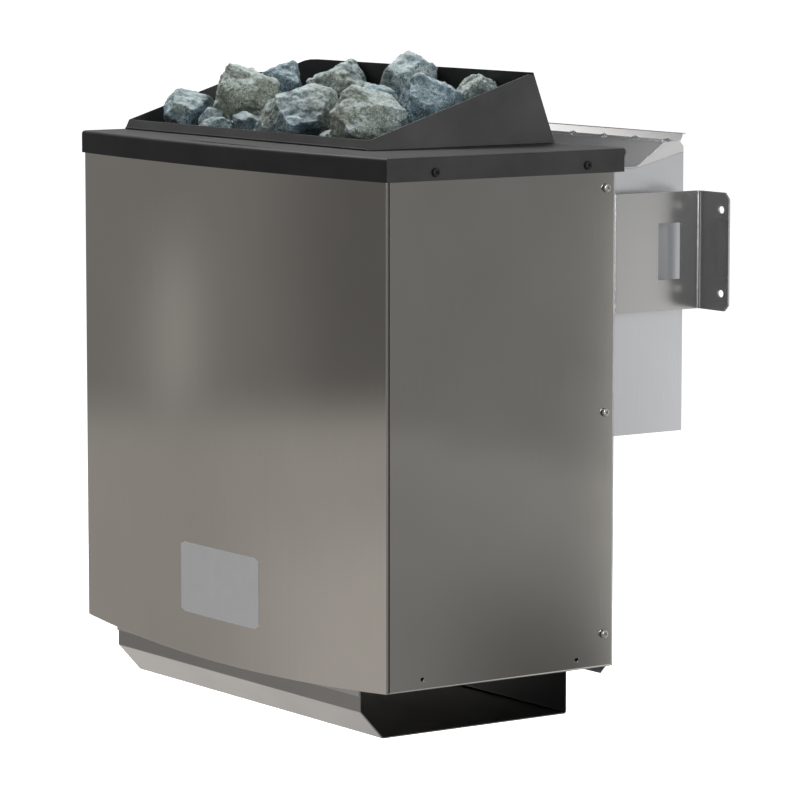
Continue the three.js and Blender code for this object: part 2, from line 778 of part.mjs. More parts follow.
function heatingShaft() {
  const duct = polygon([
    [shaft.left, shaft.front],
    [shaft.right, shaft.front],
    [shaft.right, shaft.rear],
    [shaft.left, shaft.rear],
  ]);
  duct.holes.push(polygon([
    [opening.left, opening.front],
    [opening.left, opening.rear],
    [opening.right, opening.rear],
    [opening.right, opening.front],
  ]));
  const slots = railY.map((y) => block(
    shaft.left - GRATE_RAIL_END,
    shaft.right + GRATE_RAIL_END,
    y - GRATE_RAIL_WIDTH / 2 - SEAM,
    y + GRATE_RAIL_WIDTH / 2 + SEAM,
    railTop - GRATE_RAIL_HEIGHT - SEAM,
    railTop + SEAM,
  ));
  const window = block(
    opening.right - SEAM,
    shaft.right + SEAM,
    plateRange.front + PLATE_LAP,
    plateRange.rear - PLATE_LAP,
    plateRange.low + PLATE_LAP,
    plateRange.high - PLATE_LAP,
  );
  return cutBy(alongZ(duct, standing, panelTop), ...slots, window);
}

// Stone grate: round bars welded on two rails that hang in the shaft's slots
function stoneGrate() {
  const rails = railY.map((y) => block(
    shaft.left - GRATE_RAIL_END,
    shaft.right + GRATE_RAIL_END,
    y - GRATE_RAIL_WIDTH / 2,
    y + GRATE_RAIL_WIDTH / 2,
    railTop - GRATE_RAIL_HEIGHT,
    railTop,
  ));
  const span = opening.right - opening.left - GRATE_PITCH;
  const gaps = Math.floor(span / GRATE_PITCH);
  const first = (opening.left + opening.right - gaps * GRATE_PITCH) / 2;
  const rodZ = grateTop - GRATE_ROD / 2;
  const rods = Array.from({ length: gaps + 1 }, (_, rod) => {
    const shape = circle(first + rod * GRATE_PITCH, rodZ, GRATE_ROD / 2);
    return alongY(shape, opening.front + 2 * SEAM, opening.rear - 2 * SEAM, 3);
  });
  return joined(...rails, ...rods);
}

// Heat shield: sheet folded round the left, front and right of the shaft, with a window for the elements
function heatShield() {
  const left = shaft.left - SHIELD_GAP_LEFT;
  const front = shaft.front - SHIELD_GAP_FRONT;
  const right = shaft.right + SHIELD_GAP_RIGHT;
  const plan = foldedSheet(
    [[left, shaft.rear], [left, front], [right, front], [right, shaft.rear]],
    SHIELD_SHEET,
    SHIELD_BEND,
  );
  const window = block(
    right - 2 * SHIELD_SHEET,
    right + 2 * SHIELD_SHEET,
    plateRange.front - SHIELD_WINDOW_GAP,
    plateRange.rear + SHIELD_WINDOW_GAP,
    plateRange.low - SHIELD_WINDOW_GAP,
    plateRange.high + SHIELD_WINDOW_GAP,
  );
  return cutBy(alongZ(plan, standing, panelTop - SHIELD_TOP_GAP), window);
}

// Heating element: one tube in four runs, both ends out through the plate on the right
const plateFrom = shaft.right + SEAM;
const plateTo = plateFrom + PLATE_SHEET;

function heatingElement(y) {
  const left = opening.left + ELEMENT_LEFT_GAP;
  const right = opening.right - ELEMENT_RIGHT_GAP;
  const end = plateTo + ELEMENT_PIN;
  const corners = Array.from({ length: ELEMENT_RUNS }, (_, run) => {
    const outer = run === 0 || run === ELEMENT_RUNS - 1 ? end : right;
    const ends = run % 2 ? [left, outer] : [outer, left];
    return ends.map((x) => new THREE.Vector3(x, y, elementBase + run * ELEMENT_PITCH));
  });
  return bentTube(corners.flat(), ELEMENT_BEND, ELEMENT_DIAMETER);
}

function elementPlate() {
  const { front, rear, low, high } = plateRange;
  const plate = block(plateFrom, plateTo, front, rear, low, high);
  const places = elementPlaces.flatMap((y) => [[y, elementBase], [y, elementTop]]);
  return cutBy(plate, ...holesAcross(places, ELEMENT_DIAMETER / 2 + SEAM, plateFrom - SEAM, plateTo + SEAM));
}

// Terminal carrier, terminal block and cable gland
const carrierRight = innerHalf - CARRIER_SIDE_GAP;

function terminalCarrier() {
  const section = foldedSheet(
    [
      [carrierRight - CARRIER_FOOT, standing],
      [carrierRight, standing],
      [carrierRight, standing + CARRIER_HEIGHT],
    ],
    CARRIER_SHEET,
    CARRIER_BEND,
  );
  return alongY(section, middleY - CARRIER_LENGTH / 2, middleY + CARRIER_LENGTH / 2);
}

function terminalBlock() {
  const right = carrierRight - CARRIER_SHEET - SEAM;
  const low = standing + CARRIER_HEIGHT - BLOCK_HEIGHT;
  const pitch = BLOCK_POLE_WIDTH + BLOCK_RIB;
  const length = BLOCK_POLES * pitch + BLOCK_RIB;
  const front = middleY - length / 2;
  const left = right - BLOCK_DEPTH;
  const wells = Array.from({ length: BLOCK_POLES }, (_, pole) => {
    const from = front + BLOCK_RIB + pole * pitch;
    const to = from + BLOCK_POLE_WIDTH;
    return block(left - SEAM, left + BLOCK_WELL, from, to, low + BLOCK_RIB, low + BLOCK_HEIGHT + SEAM);
  });
  return cutBy(block(left, right, front, front + length, low, low + BLOCK_HEIGHT), ...wells);
}

function cableGland() {
  const hole = GLAND_BORE / 2;
  const thread = GLAND_THREAD / 2;
  const nut = GLAND_NUT / 2;
  const inner = SEAM + GLAND_NUT_LENGTH;
  const outer = PANEL_SHEET + SEAM;
  const collar = outer + GLAND_NUT_LENGTH;
  const profile = [
    [hole, -inner],
    [nut, -inner],
    [nut, -SEAM],
    [thread, -SEAM],
    [thread, outer],
    [nut, outer],
    [nut, collar],
    [thread, collar + GLAND_DOME_LENGTH],
    [hole, collar + GLAND_DOME_LENGTH],
    [hole, -inner],
  ];
  return solid(turned(profile).rotateX(-Math.PI / 2).translate(glandX, backInside, GLAND_HEIGHT));
}

// Wall bracket: tab on the back panel, plate out to the wall, flange with two slots on the wall
const bracketX = halfCasing - BRACKET_SIDE_INSET;

function rightBracket() {
  const tabFace = backFace + SEAM;
  const flangeFace = wallFace - BRACKET_SHEET;
  const flangeEnd = bracketX + BRACKET_FLANGE;
  const plan = foldedSheet(
    [
      [bracketX - BRACKET_TAB, tabFace],
      [bracketX, tabFace],
      [bracketX, flangeFace],
      [flangeEnd, flangeFace],
    ],
    BRACKET_SHEET,
    BRACKET_BEND,
  );
  const high = BRACKET_LOW + BRACKET_HEIGHT;
  const middle = BRACKET_LOW + BRACKET_HEIGHT / 2;
  const face = polygon([
    [bracketX - BRACKET_TAB, BRACKET_LOW],
    [flangeEnd - BRACKET_CHAMFER, BRACKET_LOW],
    [flangeEnd, BRACKET_LOW + BRACKET_CHAMFER],
    [flangeEnd, high - BRACKET_CHAMFER],
    [flangeEnd - BRACKET_CHAMFER, high],
    [bracketX - BRACKET_TAB, high],
  ]);
  const sheet = alongZ(plan, BRACKET_LOW, high).intersect(alongY(face, tabFace, wallFace));
  const windowRear = wallFace - BRACKET_WINDOW_WALL_GAP;
  const slots = [-1, 1].map((side) => {
    const z = middle + (side * BRACKET_SLOT_PITCH) / 2;
    const slot = roundedSlot(flangeEnd - BRACKET_SLOT_EDGE, z, BRACKET_SLOT_WIDTH, BRACKET_SLOT_HEIGHT);
    return alongY(slot, flangeFace - SEAM, wallFace + SEAM);
  });
  const holes = bracketScrewHeights().map((z) => {
    return boreY([bracketScrewX(), z], screwHole, tabFace - SEAM, tabFace + BRACKET_SHEET + SEAM);
  });
  return cutBy(
    sheet,
    block(
      bracketX - 2 * BRACKET_SHEET,
      bracketX + BRACKET_SHEET,
      windowRear - BRACKET_WINDOW_WIDTH,
      windowRear,
      middle - BRACKET_WINDOW_HEIGHT / 2,
      middle + BRACKET_WINDOW_HEIGHT / 2,
    ),
    ...slots,
    ...holes,
  );
}

// Evaporator tank: sheet folded round front, floor and back between two end plates that rise to the wall,
// held off the back panel by two rails
const tankFront = backFace + TANK_GAP;
const tankRear = wallFace - TANK_WALL_GAP;
const tankHalf = TANK_WIDTH / 2;
const tankTop = TANK_LOW + TANK_HEIGHT;
const drainX = -tankHalf + DRAIN_SIDE_INSET;
const tankMiddle = (tankFront + tankRear) / 2;
const heaterZ = TANK_LOW + TANK_SHEET + HEATER_HEIGHT;

function tankEnd() {
  return polygon([
    [tankFront, TANK_LOW],
    [tankRear, TANK_LOW],
    [tankRear, tankTop + TANK_RISE],
    [tankFront + TANK_FLAT, tankTop],
    [tankFront, tankTop],
  ]);
}

function heaterPlaces() {
  return [[tankMiddle - HEATER_SPREAD / 2, heaterZ], [tankMiddle + HEATER_SPREAD / 2, heaterZ]];
}

function evaporatorTank() {
  const wrap = foldedSheet(
    [
      [tankFront, tankTop],
      [tankFront, TANK_LOW],
      [tankRear, TANK_LOW],
      [tankRear, tankTop + TANK_RISE],
    ],
    TANK_SHEET,
    TANK_BEND,
  );
  const drainHole = DRAIN_DIAMETER / 2 + SEAM;
  const heaterHole = HEATER_DIAMETER / 2 + SEAM;
  return cutBy(
    joined(
      alongX(wrap, -tankHalf, tankHalf),
      alongX(tankEnd(), -tankHalf, -tankHalf + TANK_SHEET),
      alongX(tankEnd(), tankHalf - TANK_SHEET, tankHalf),
    ),
    boreZ([drainX, tankMiddle], drainHole, TANK_LOW - SEAM, TANK_LOW + 2 * TANK_SHEET),
    ...holesAcross(heaterPlaces(), heaterHole, -tankHalf - SEAM, -tankHalf + 2 * TANK_SHEET),
  );
}

function tankRail(low) {
  const near = backFace + SEAM;
  const far = tankFront - SEAM - RAIL_SHEET;
  const web = low + RAIL_FLANGE;
  const section = foldedSheet(
    [[near, low], [near, web], [far, web], [far, web + RAIL_FLANGE]],
    -RAIL_SHEET,
    RAIL_BEND,
  );
  return alongX(section, -RAIL_LENGTH / 2, RAIL_LENGTH / 2);
}

function tankHeater() {
  const outside = -tankHalf - HEATER_PIN;
  const far = tankHalf - HEATER_END_GAP;
  const [[nearY, z], [farY]] = heaterPlaces();
  const corners = [[outside, nearY], [far, nearY], [far, farY], [outside, farY]];
  return bentTube(corners.map(([x, y]) => new THREE.Vector3(x, y, z)), HEATER_BEND, HEATER_DIAMETER);
}

function drainStub() {
  const hole = DRAIN_BORE / 2;
  const pipe = DRAIN_DIAMETER / 2;
  const collar = DRAIN_COLLAR / 2;
  const collarTop = TANK_LOW - SEAM;
  const profile = [
    [hole, TANK_LOW - DRAIN_LENGTH],
    [pipe, TANK_LOW - DRAIN_LENGTH],
    [pipe, collarTop - DRAIN_COLLAR_LENGTH],
    [collar, collarTop - DRAIN_COLLAR_LENGTH],
    [collar, collarTop],
    [pipe, collarTop],
    [pipe, TANK_LOW + TANK_SHEET],
    [hole, TANK_LOW + TANK_SHEET],
    [hole, TANK_LOW - DRAIN_LENGTH],
  ];
  return solid(turned(profile).translate(drainX, tankMiddle, 0));
}

// Herb tray: flat floor with steam slots over the tank's front, a slope up to a ledge and a hemmed rim,
// and wedge-shaped ends that stand on the tank's rising ends
function herbTray() {
  const floor = tankTop + SEAM;
  const front = tankFront + SEAM;
  const slopeFoot = tankFront + TANK_FLAT;
  const ledge = [slopeFoot + HERB_SLOPE_RUN, floor + HERB_SLOPE_RISE];
  const rimFoot = [tankRear - HERB_RIM_LEAN, ledge[1] + HERB_SHEET];
  const rimTop = [tankRear, rimFoot[1] + HERB_RIM_HEIGHT];
  const section = foldedSheet(
    [
      [front, floor + HERB_FRONT_LIP],
      [front, floor],
      [slopeFoot, floor],
      ledge,
      rimFoot,
      rimTop,
      [rimTop[0] + HERB_HEM, rimTop[1]],
    ],
    HERB_SHEET,
    HERB_BEND,
  );
  const end = polygon([
    [slopeFoot, floor],
    [tankRear, floor + TANK_RISE],
    [tankRear, ledge[1] - HERB_HEM],
    [rimFoot[0], rimFoot[1] + HERB_SHEET / 2],
    [ledge[0], ledge[1] + HERB_SHEET / 2],
    [slopeFoot, floor + HERB_SHEET / 2],
  ]);
  const sheet = joined(
    alongX(section, -tankHalf, tankHalf),
    alongX(end, tankHalf - TANK_SHEET, tankHalf),
    alongX(end, -tankHalf, -tankHalf + TANK_SHEET),
  );
  const pairs = Math.floor((TANK_WIDTH / 2 - HERB_STEAM_SLOT_PITCH / 2) / HERB_STEAM_SLOT_PITCH);
  const slotY = (front + slopeFoot) / 2;
  const slots = Array.from({ length: 2 * pairs + 1 }, (_, place) => {
    const x = (place - pairs) * HERB_STEAM_SLOT_PITCH;
    const slot = roundedSlot(x, slotY, HERB_STEAM_SLOT_LENGTH, HERB_STEAM_SLOT_WIDTH);
    return alongZ(slot, floor - SEAM, floor + 2 * HERB_SHEET, 2);
  });
  return cutBy(sheet, ...slots);
}

// Screw with a pan head, its head's underside at the origin and its shank along +Z
function screwBody() {
  const head = SCREW_HEAD_DIAMETER / 2;
  return turned([
    [0, -SCREW_HEAD_HEIGHT],
    [head - SCREW_HEAD_ROUND, -SCREW_HEAD_HEIGHT],
    [head, SCREW_HEAD_ROUND - SCREW_HEAD_HEIGHT],
    [head, 0],
    [screwRadius, 0],
    [screwRadius, SCREW_LENGTH],
    [0, SCREW_LENGTH],
  ]);
}

// Stones: each fills its own cell between its neighbours, with broken edges, inside the guard
function halfSpace(point, normal) {
  const size = 2 * CASING_WIDTH;
  const geometry = new THREE.BoxGeometry(size, size, size).translate(0, 0, size / 2);
  const turn = new THREE.Quaternion().setFromUnitVectors(new THREE.Vector3(0, 0, 1), normal);
  return solid(geometry.applyQuaternion(turn).translate(point.x, point.y, point.z));
}

function basketRoom() {
  const gap = STONE_GAP;
  const floor = grateTop + SEAM;
  const flangeTop = guard.base + GUARD_SHEET + gap;
  const high = guard.base + 2 * GUARD_REAR_HEIGHT;
  const lean = GUARD_REAR_LEAN / GUARD_REAR_HEIGHT;
  const rearAt = (z) => guard.rear - GUARD_SHEET - gap - (z - guard.base) * lean;
  const front = guard.front + GUARD_LIP_LEAN + GUARD_SHEET + gap;
  const upper = polygon([
    [front, flangeTop],
    [rearAt(flangeTop), flangeTop],
    [rearAt(high), high],
    [front, high],
  ]);
  const lower = block(
    opening.left + gap,
    opening.right - gap,
    opening.front + gap,
    opening.rear - gap,
    floor,
    flangeTop + gap,
  );
  return joined(alongX(upper, guard.left + GUARD_SHEET + gap, guard.right - GUARD_SHEET - gap), lower);
}

function chance(stone, draw) {
  const value = Math.sin(stone * 12.9898 + draw * 78.233 + 3.7) * 43758.5453;
  return value - Math.floor(value);
}

function laidStones() {
  return STONES.reduce((laid, [across, along, radius, breadth]) => {
    const middle = new THREE.Vector3(
      guard.left + across * (guard.right - guard.left),
      guard.front + along * (guard.rear - guard.front),
      grateTop + STONE_SETTLING * radius,
    );
    const levels = laid.map((other) => {
      const rise = STONE_SETTLING * (radius + other.radius);
      const reach = STONE_SETTLING * (radius * breadth + other.radius * other.breadth);
      const aside = Math.hypot(middle.x - other.middle.x, middle.y - other.middle.y) / reach;
      return aside < 1 ? other.middle.z + rise * Math.sqrt(1 - aside * aside) : middle.z;
    });
    middle.z = Math.max(middle.z, ...levels);
    return [...laid, { middle, radius, breadth }];
  }, []);
}

function stoneReach({ radius, breadth }, normal) {
  return radius * Math.hypot(breadth * normal.x, breadth * normal.y, normal.z);
}

function stoneBody(stone, index, pile, room) {
  let body = room;
  pile.filter((other) => other !== stone).forEach((other) => {
    const toward = other.middle.clone().sub(stone.middle);
    const normal = toward.clone().normalize();
    const reach = stoneReach(stone, normal);
    const share = reach / (reach + stoneReach(other, normal));
    const meeting = stone.middle.clone().addScaledVector(toward, share);
    body = body.subtract(halfSpace(meeting.addScaledVector(normal, -STONE_GAP / 2), normal));
  });
  const goldenAngle = Math.PI * (3 - Math.sqrt(5));
  for (let facet = 0; facet < STONE_FACETS; facet += 1) {
    const level = 1 - (2 * facet + 1) / STONE_FACETS;
    const around = facet * goldenAngle + chance(index, STONE_FACETS) * 2 * Math.PI;
    const flat = Math.sqrt(1 - level * level);
    const normal = new THREE.Vector3(flat * Math.cos(around), flat * Math.sin(around), level);
    const distance = stoneReach(stone, normal) * (STONE_LEAST_REACH + STONE_SPREAD * chance(index, facet));
    body = body.subtract(halfSpace(stone.middle.clone().addScaledVector(normal, distance), normal));
  }
  return body;
}

function stones() {
  const room = basketRoom();
  return laidStones().map((stone, index, pile) => stoneBody(stone, index, pile, room));
}

// Assembly
const heater = new THREE.Group();
heater.position.set(0, -wallFace, TRAY_DEPTH);

function addPart(name, body, color, roughness, metalness) {
  const material = new THREE.MeshStandardMaterial({ color, roughness, metalness });
  const mesh = new THREE.Mesh(body.isBufferGeometry ? body : geometryOf(body), material);
  mesh.name = name;
  heater.add(mesh);
  return mesh;
}

const steel = [0xa9a69f, 0.42, 1];
const bareSteel = [0xbfc0c2, 0.38, 1];
const galvanised = [0xb4b6b6, 0.5, 1];
const blackCoat = [0x2f2f2f, 0.6, 0.1];
const darkSteel = [0x5a5650, 0.55, 1];
const ceramic = [0xe6e2d6, 0.6, 0];
const zinc = [0xc9c9c6, 0.35, 1];

addPart('bottom_pan', bottomPan(), ...galvanised);
addPart('air_deflector_tray', airTray(), ...galvanised);
addPart('heating_shaft', heatingShaft(), ...galvanised);
addPart('heat_shield', heatShield(), ...galvanised);
addPart('element_plate', elementPlate(), ...galvanised);
elementPlaces.forEach((y, i) => addPart(`heating_element_${i + 1}`, heatingElement(y), ...darkSteel));
addPart('terminal_carrier', terminalCarrier(), ...galvanised);
addPart('terminal_block', terminalBlock(), ...ceramic);
addPart('back_panel', backPanel(), ...galvanised);
addPart('cable_gland', cableGland(), 0x2b2b2d, 0.5, 0);

const rightSide = rightSidePanel();
addPart('right_side_panel', rightSide, ...steel);
addPart('left_side_panel', mirrored(rightSide), ...steel);
addPart('front_panel', frontPanel(), ...steel);
addPart('top_cap', topCap(), ...blackCoat);
addPart('stone_grate', stoneGrate(), ...darkSteel);
addPart('stone_guard', stoneGuard(), ...blackCoat);
stones().forEach((stone, i) => addPart(`stone_${String(i + 1).padStart(2, '0')}`, stone, 0x6f7a78, 0.9, 0));

const bracket = rightBracket();
addPart('wall_bracket_right', bracket, ...steel);
addPart('wall_bracket_left', mirrored(bracket), ...steel);
addPart('tank_rail_lower', tankRail(TANK_LOW + RAIL_LOW), ...galvanised);
addPart('tank_rail_upper', tankRail(TANK_LOW + RAIL_LOW + RAIL_PITCH), ...galvanised);
addPart('evaporator_tank', evaporatorTank(), ...bareSteel);
addPart('evaporator_element', tankHeater(), ...darkSteel);
addPart('drain_stub', drainStub(), 0xb08d4a, 0.35, 1);
addPart('herb_tray', herbTray(), ...bareSteel);

function addScrew(name, position, direction, look) {
  const screw = addPart(name, screwBody(), ...look);
  screw.position.copy(position);
  screw.quaternion.setFromUnitVectors(new THREE.Vector3(0, 0, 1), direction);
}

[['left', -1], ['right', 1]].forEach(([hand, side]) => {
  const inward = new THREE.Vector3(-side, 0, 0);
  const panelFace = side * (halfCasing + SEAM);
  const skirtFace = side * (halfCasing + SEAM + CAP_SHEET + SEAM);
  sideScrewPlaces().forEach(([y, z], i) => {
    addScrew(`side_screw_${hand}_${i + 1}`, new THREE.Vector3(panelFace, y, z), inward, zinc);
  });
  capScrewPlaces().forEach(([y, z], i) => {
    addScrew(`cap_screw_${hand}_${i + 1}`, new THREE.Vector3(skirtFace, y, z), inward, blackCoat);
  });
  bracketScrewHeights().forEach((z, i) => {
    const place = new THREE.Vector3(side * bracketScrewX(), backFace + SEAM + BRACKET_SHEET + SEAM, z);
    addScrew(`bracket_screw_${hand}_${i + 1}`, place, new THREE.Vector3(0, -1, 0), zinc);
  });
});

export default heater;
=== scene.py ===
import math
import random

import bmesh
import bpy
from mathutils import Matrix, Vector
from mathutils.bvhtree import BVHTree


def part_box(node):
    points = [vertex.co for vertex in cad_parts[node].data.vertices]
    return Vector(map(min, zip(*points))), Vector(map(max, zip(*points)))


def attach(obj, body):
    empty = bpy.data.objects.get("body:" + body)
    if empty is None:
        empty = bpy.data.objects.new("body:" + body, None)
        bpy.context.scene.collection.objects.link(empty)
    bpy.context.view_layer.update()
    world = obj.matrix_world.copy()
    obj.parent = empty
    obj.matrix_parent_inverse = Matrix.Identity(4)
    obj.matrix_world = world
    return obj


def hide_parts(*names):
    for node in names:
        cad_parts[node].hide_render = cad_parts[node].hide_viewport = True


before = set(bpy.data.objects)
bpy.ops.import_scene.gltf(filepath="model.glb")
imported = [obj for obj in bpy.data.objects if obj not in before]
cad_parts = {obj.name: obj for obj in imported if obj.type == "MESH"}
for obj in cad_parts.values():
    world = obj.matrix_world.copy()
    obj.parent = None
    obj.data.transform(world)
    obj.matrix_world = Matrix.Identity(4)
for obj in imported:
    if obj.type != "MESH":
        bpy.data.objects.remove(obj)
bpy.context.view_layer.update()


# Bottom pan: floor of the casing, zinc-coated steel sheet with turned-up sides.
# It lies on the side panels' lower edges, has an air opening to the elements,
# and two lips between which the air tray hangs.
def node_in(tree, kind, ins=None, **settings):
    made = tree.nodes.new(kind)
    for name, value in settings.items():
        setattr(made, name, value)
    for key, value in (ins or {}).items():
        if isinstance(value, bpy.types.NodeSocket):
            tree.links.new(value, made.inputs[key])
        else:
            made.inputs[key].default_value = value
    return made


def new_finish(name, metallic):
    made = bpy.data.materials.new(name)
    made.use_nodes = True
    tree = made.node_tree
    shader = tree.nodes["Principled BSDF"]
    shader.inputs["Metallic"].default_value = metallic
    place = tree.nodes.new("ShaderNodeTexCoord").outputs["Object"]
    return made, tree, shader, place


def cloud(tree, place, scale, detail=3.0, rough=0.5, stretch=(1, 1, 1)):
    if stretch != (1, 1, 1):
        place = node_in(tree, "ShaderNodeMapping", {"Vector": place, "Scale": stretch}).outputs[0]
    ins = {"Vector": place, "Scale": scale, "Detail": detail, "Roughness": rough}
    return node_in(tree, "ShaderNodeTexNoise", ins).outputs["Fac"]


def spread(tree, value, low, high, start=0.0, end=1.0):
    ins = {"Value": value, "From Min": start, "From Max": end, "To Min": low, "To Max": high}
    return node_in(tree, "ShaderNodeMapRange", ins).outputs[0]


def blended(tree, share, first, second):
    first, second = (c if isinstance(c, bpy.types.NodeSocket) else (*c, 1) for c in (first, second))
    return node_in(tree, "ShaderNodeMix", {0: share, 6: first, 7: second}, data_type="RGBA").outputs[2]


def product(tree, first, second):
    return node_in(tree, "ShaderNodeMath", {0: first, 1: second}, operation="MULTIPLY").outputs[0]


def give_tone(tree, shader, colour, rough):
    tree.links.new(colour, shader.inputs["Base Color"])
    tree.links.new(rough, shader.inputs["Roughness"])


def relief(tree, shader, height, strength, depth):
    bump = node_in(tree, "ShaderNodeBump", {"Height": height, "Strength": strength, "Distance": depth})
    tree.links.new(bump.outputs[0], shader.inputs["Normal"])


def zinc_coat(name, bright=(0.60, 0.61, 0.61), dull=(0.47, 0.48, 0.49)):
    made, tree, shader, place = new_finish(name, 1.0)
    spangle = node_in(tree, "ShaderNodeTexVoronoi", {"Vector": place, "Scale": 85.0}).outputs["Color"]
    flake = node_in(tree, "ShaderNodeSeparateColor", {0: spangle}).outputs[0]
    haze = cloud(tree, place, 14.0, 4.0)
    tone = product(tree, flake, haze)
    give_tone(tree, shader, blended(tree, tone, dull, bright), spread(tree, flake, 0.38, 0.52))
    relief(tree, shader, cloud(tree, place, 700.0), 0.06, 0.0003)
    return made


def plain_piece(maker, name):
    bpy.context.view_layer.update()
    graph = bpy.context.evaluated_depsgraph_get()
    mesh = bpy.data.meshes.new_from_object(maker.evaluated_get(graph))
    mesh.name = name
    bpy.data.objects.remove(maker)
    piece = bpy.data.objects.new(name, mesh)
    bpy.context.scene.collection.objects.link(piece)
    return piece


def merged_copy(node):
    shape = bmesh.new()
    shape.from_mesh(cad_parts[node].data)
    bmesh.ops.remove_doubles(shape, verts=shape.verts, dist=1e-6)
    return shape


def maker_of(shape, name, *finishes):
    mesh = bpy.data.meshes.new(name)
    shape.to_mesh(mesh)
    shape.free()
    if "custom_normal" in mesh.attributes:
        mesh.attributes.remove(mesh.attributes["custom_normal"])
    mesh.shade_smooth()
    mesh.materials.clear()
    for finish in finishes:
        mesh.materials.append(finish)
    maker = bpy.data.objects.new(name, mesh)
    bpy.context.scene.collection.objects.link(maker)
    return maker


def eased_sheet(node, edge, *finishes, inner=None):
    shape = merged_copy(node)
    flat = math.radians(0.2)
    bmesh.ops.dissolve_limit(shape, angle_limit=flat, verts=shape.verts, edges=shape.edges)
    for face in shape.faces:
        face.material_index = 1 if inner and inner(face) else 0
    maker = maker_of(shape, node + "_blank", *finishes)
    ease = maker.modifiers.new("eased edges", "BEVEL")
    ease.width = edge
    ease.segments = 2
    ease.limit_method = "ANGLE"
    ease.angle_limit = math.radians(32)
    ease.material = 0
    even = maker.modifiers.new("flat faces", "WEIGHTED_NORMAL")
    even.mode = "FACE_AREA"
    even.weight = 90
    return plain_piece(maker, node + "_sheet")


def fitted(piece, body, slot, *nodes):
    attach(piece, body)
    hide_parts(*nodes)
    return piece


sheet_edge = 0.0003
pan_zinc = zinc_coat("zinc coat of the pan")
fitted(eased_sheet("bottom_pan", sheet_edge, pan_zinc), "heater", "galvanised_sheet", "bottom_pan")

# Heating shaft, heat shield and element plate: aluminised sheet folded to a duct, with a second skin
# spaced off on three sides and a thicker plate screwed over the window for the elements' ends.
# They stand on the pan and turn straw brown where the elements glow.
def scaled_sum(tree, value, factor, added):
    ins = {0: value, 1: factor, 2: added}
    return node_in(tree, "ShaderNodeMath", ins, operation="MULTIPLY_ADD").outputs[0]


def heat_tinted_coat(name):
    made, tree, shader, place = new_finish(name, 1.0)
    height = node_in(tree, "ShaderNodeSeparateXYZ", {0: place}).outputs[2]
    haze = cloud(tree, place, 18.0, 5.0)
    ragged = scaled_sum(tree, haze, 0.16, height)
    ins = {"Value": ragged, "From Min": 0.16, "From Max": 0.34}
    glow = node_in(tree, "ShaderNodeMapRange", ins, interpolation_type="SMOOTHSTEP").outputs[0]
    steel = blended(tree, haze, (0.46, 0.46, 0.46), (0.60, 0.60, 0.59))
    straw = blended(tree, haze, (0.42, 0.31, 0.19), (0.30, 0.24, 0.27))
    give_tone(tree, shader, blended(tree, glow, steel, straw), spread(tree, haze, 0.34, 0.5))
    relief(tree, shader, cloud(tree, place, 500.0), 0.05, 0.0003)
    return made


thin_edge = 0.00025
shaft_coat = heat_tinted_coat("heat-tinted coat of the shaft")
for node in ("heating_shaft", "heat_shield", "element_plate"):
    fitted(eased_sheet(node, thin_edge, shaft_coat), "heater", "galvanised_sheet", node)


# Heating elements: three sheathed tubes of heat-proof steel, each bent to four runs in the shaft,
# with both ends out through the element plate. The hot runs are dark with oxide.
def heat_darkened(name, pale=(0.30, 0.28, 0.25), dark=(0.09, 0.085, 0.08)):
    made, tree, shader, place = new_finish(name, 1.0)
    scale = cloud(tree, place, 55.0, 6.0, 0.65)
    give_tone(tree, shader, blended(tree, spread(tree, scale, 0, 1, 0.3, 0.7), dark, pale),
              spread(tree, scale, 0.62, 0.42))
    relief(tree, shader, cloud(tree, place, 900.0, 4.0), 0.25, 0.0004)
    return made


def shape_tree(name, **inputs):
    tree = bpy.data.node_groups.new(name, "GeometryNodeTree")
    tree.interface.new_socket("Geometry", in_out="INPUT", socket_type="NodeSocketGeometry")
    for label, kind in inputs.items():
        tree.interface.new_socket(label.replace("_", " "), in_out="INPUT", socket_type="NodeSocket" + kind)
    tree.interface.new_socket("Geometry", in_out="OUTPUT", socket_type="NodeSocketGeometry")
    return tree, tree.nodes.new("NodeGroupInput").outputs


def close_tree(tree, shape, finish):
    real = node_in(tree, "GeometryNodeRealizeInstances", {0: shape}).outputs[0]
    looks = node_in(tree, "GeometryNodeSetMaterial", {"Geometry": real, "Material": finish}).outputs[0]
    node_in(tree, "NodeGroupOutput", {0: looks})


def grown(maker, tree, name, **values):
    growth = maker.modifiers.new(tree.name, "NODES")
    growth.node_group = tree
    for item in tree.interface.items_tree:
        key = item.name.replace(" ", "_")
        if item.in_out == "INPUT" and key in values:
            growth[item.identifier] = values[key]
    return plain_piece(maker, name)


def route_of(name, corners, bend, steps=8):
    points = [corners[0]]
    for before, corner, after in zip(corners, corners[1:], corners[2:]):
        first = corner + (before - corner).normalized() * bend
        last = corner + (after - corner).normalized() * bend
        for step in range(steps + 1):
            angle = step / steps * math.pi / 2
            along, onward = 1 - math.sin(angle), 1 - math.cos(angle)
            points.append(corner + (first - corner) * along + (last - corner) * onward)
    points.append(corners[-1])
    curve = bpy.data.curves.new(name, "CURVE")
    curve.dimensions = "3D"
    spline = curve.splines.new("POLY")
    spline.points.add(len(points) - 1)
    for point, place in zip(spline.points, points):
        point.co = (*place, 1)
    route = bpy.data.objects.new(name, curve)
    bpy.context.scene.collection.objects.link(route)
    return route


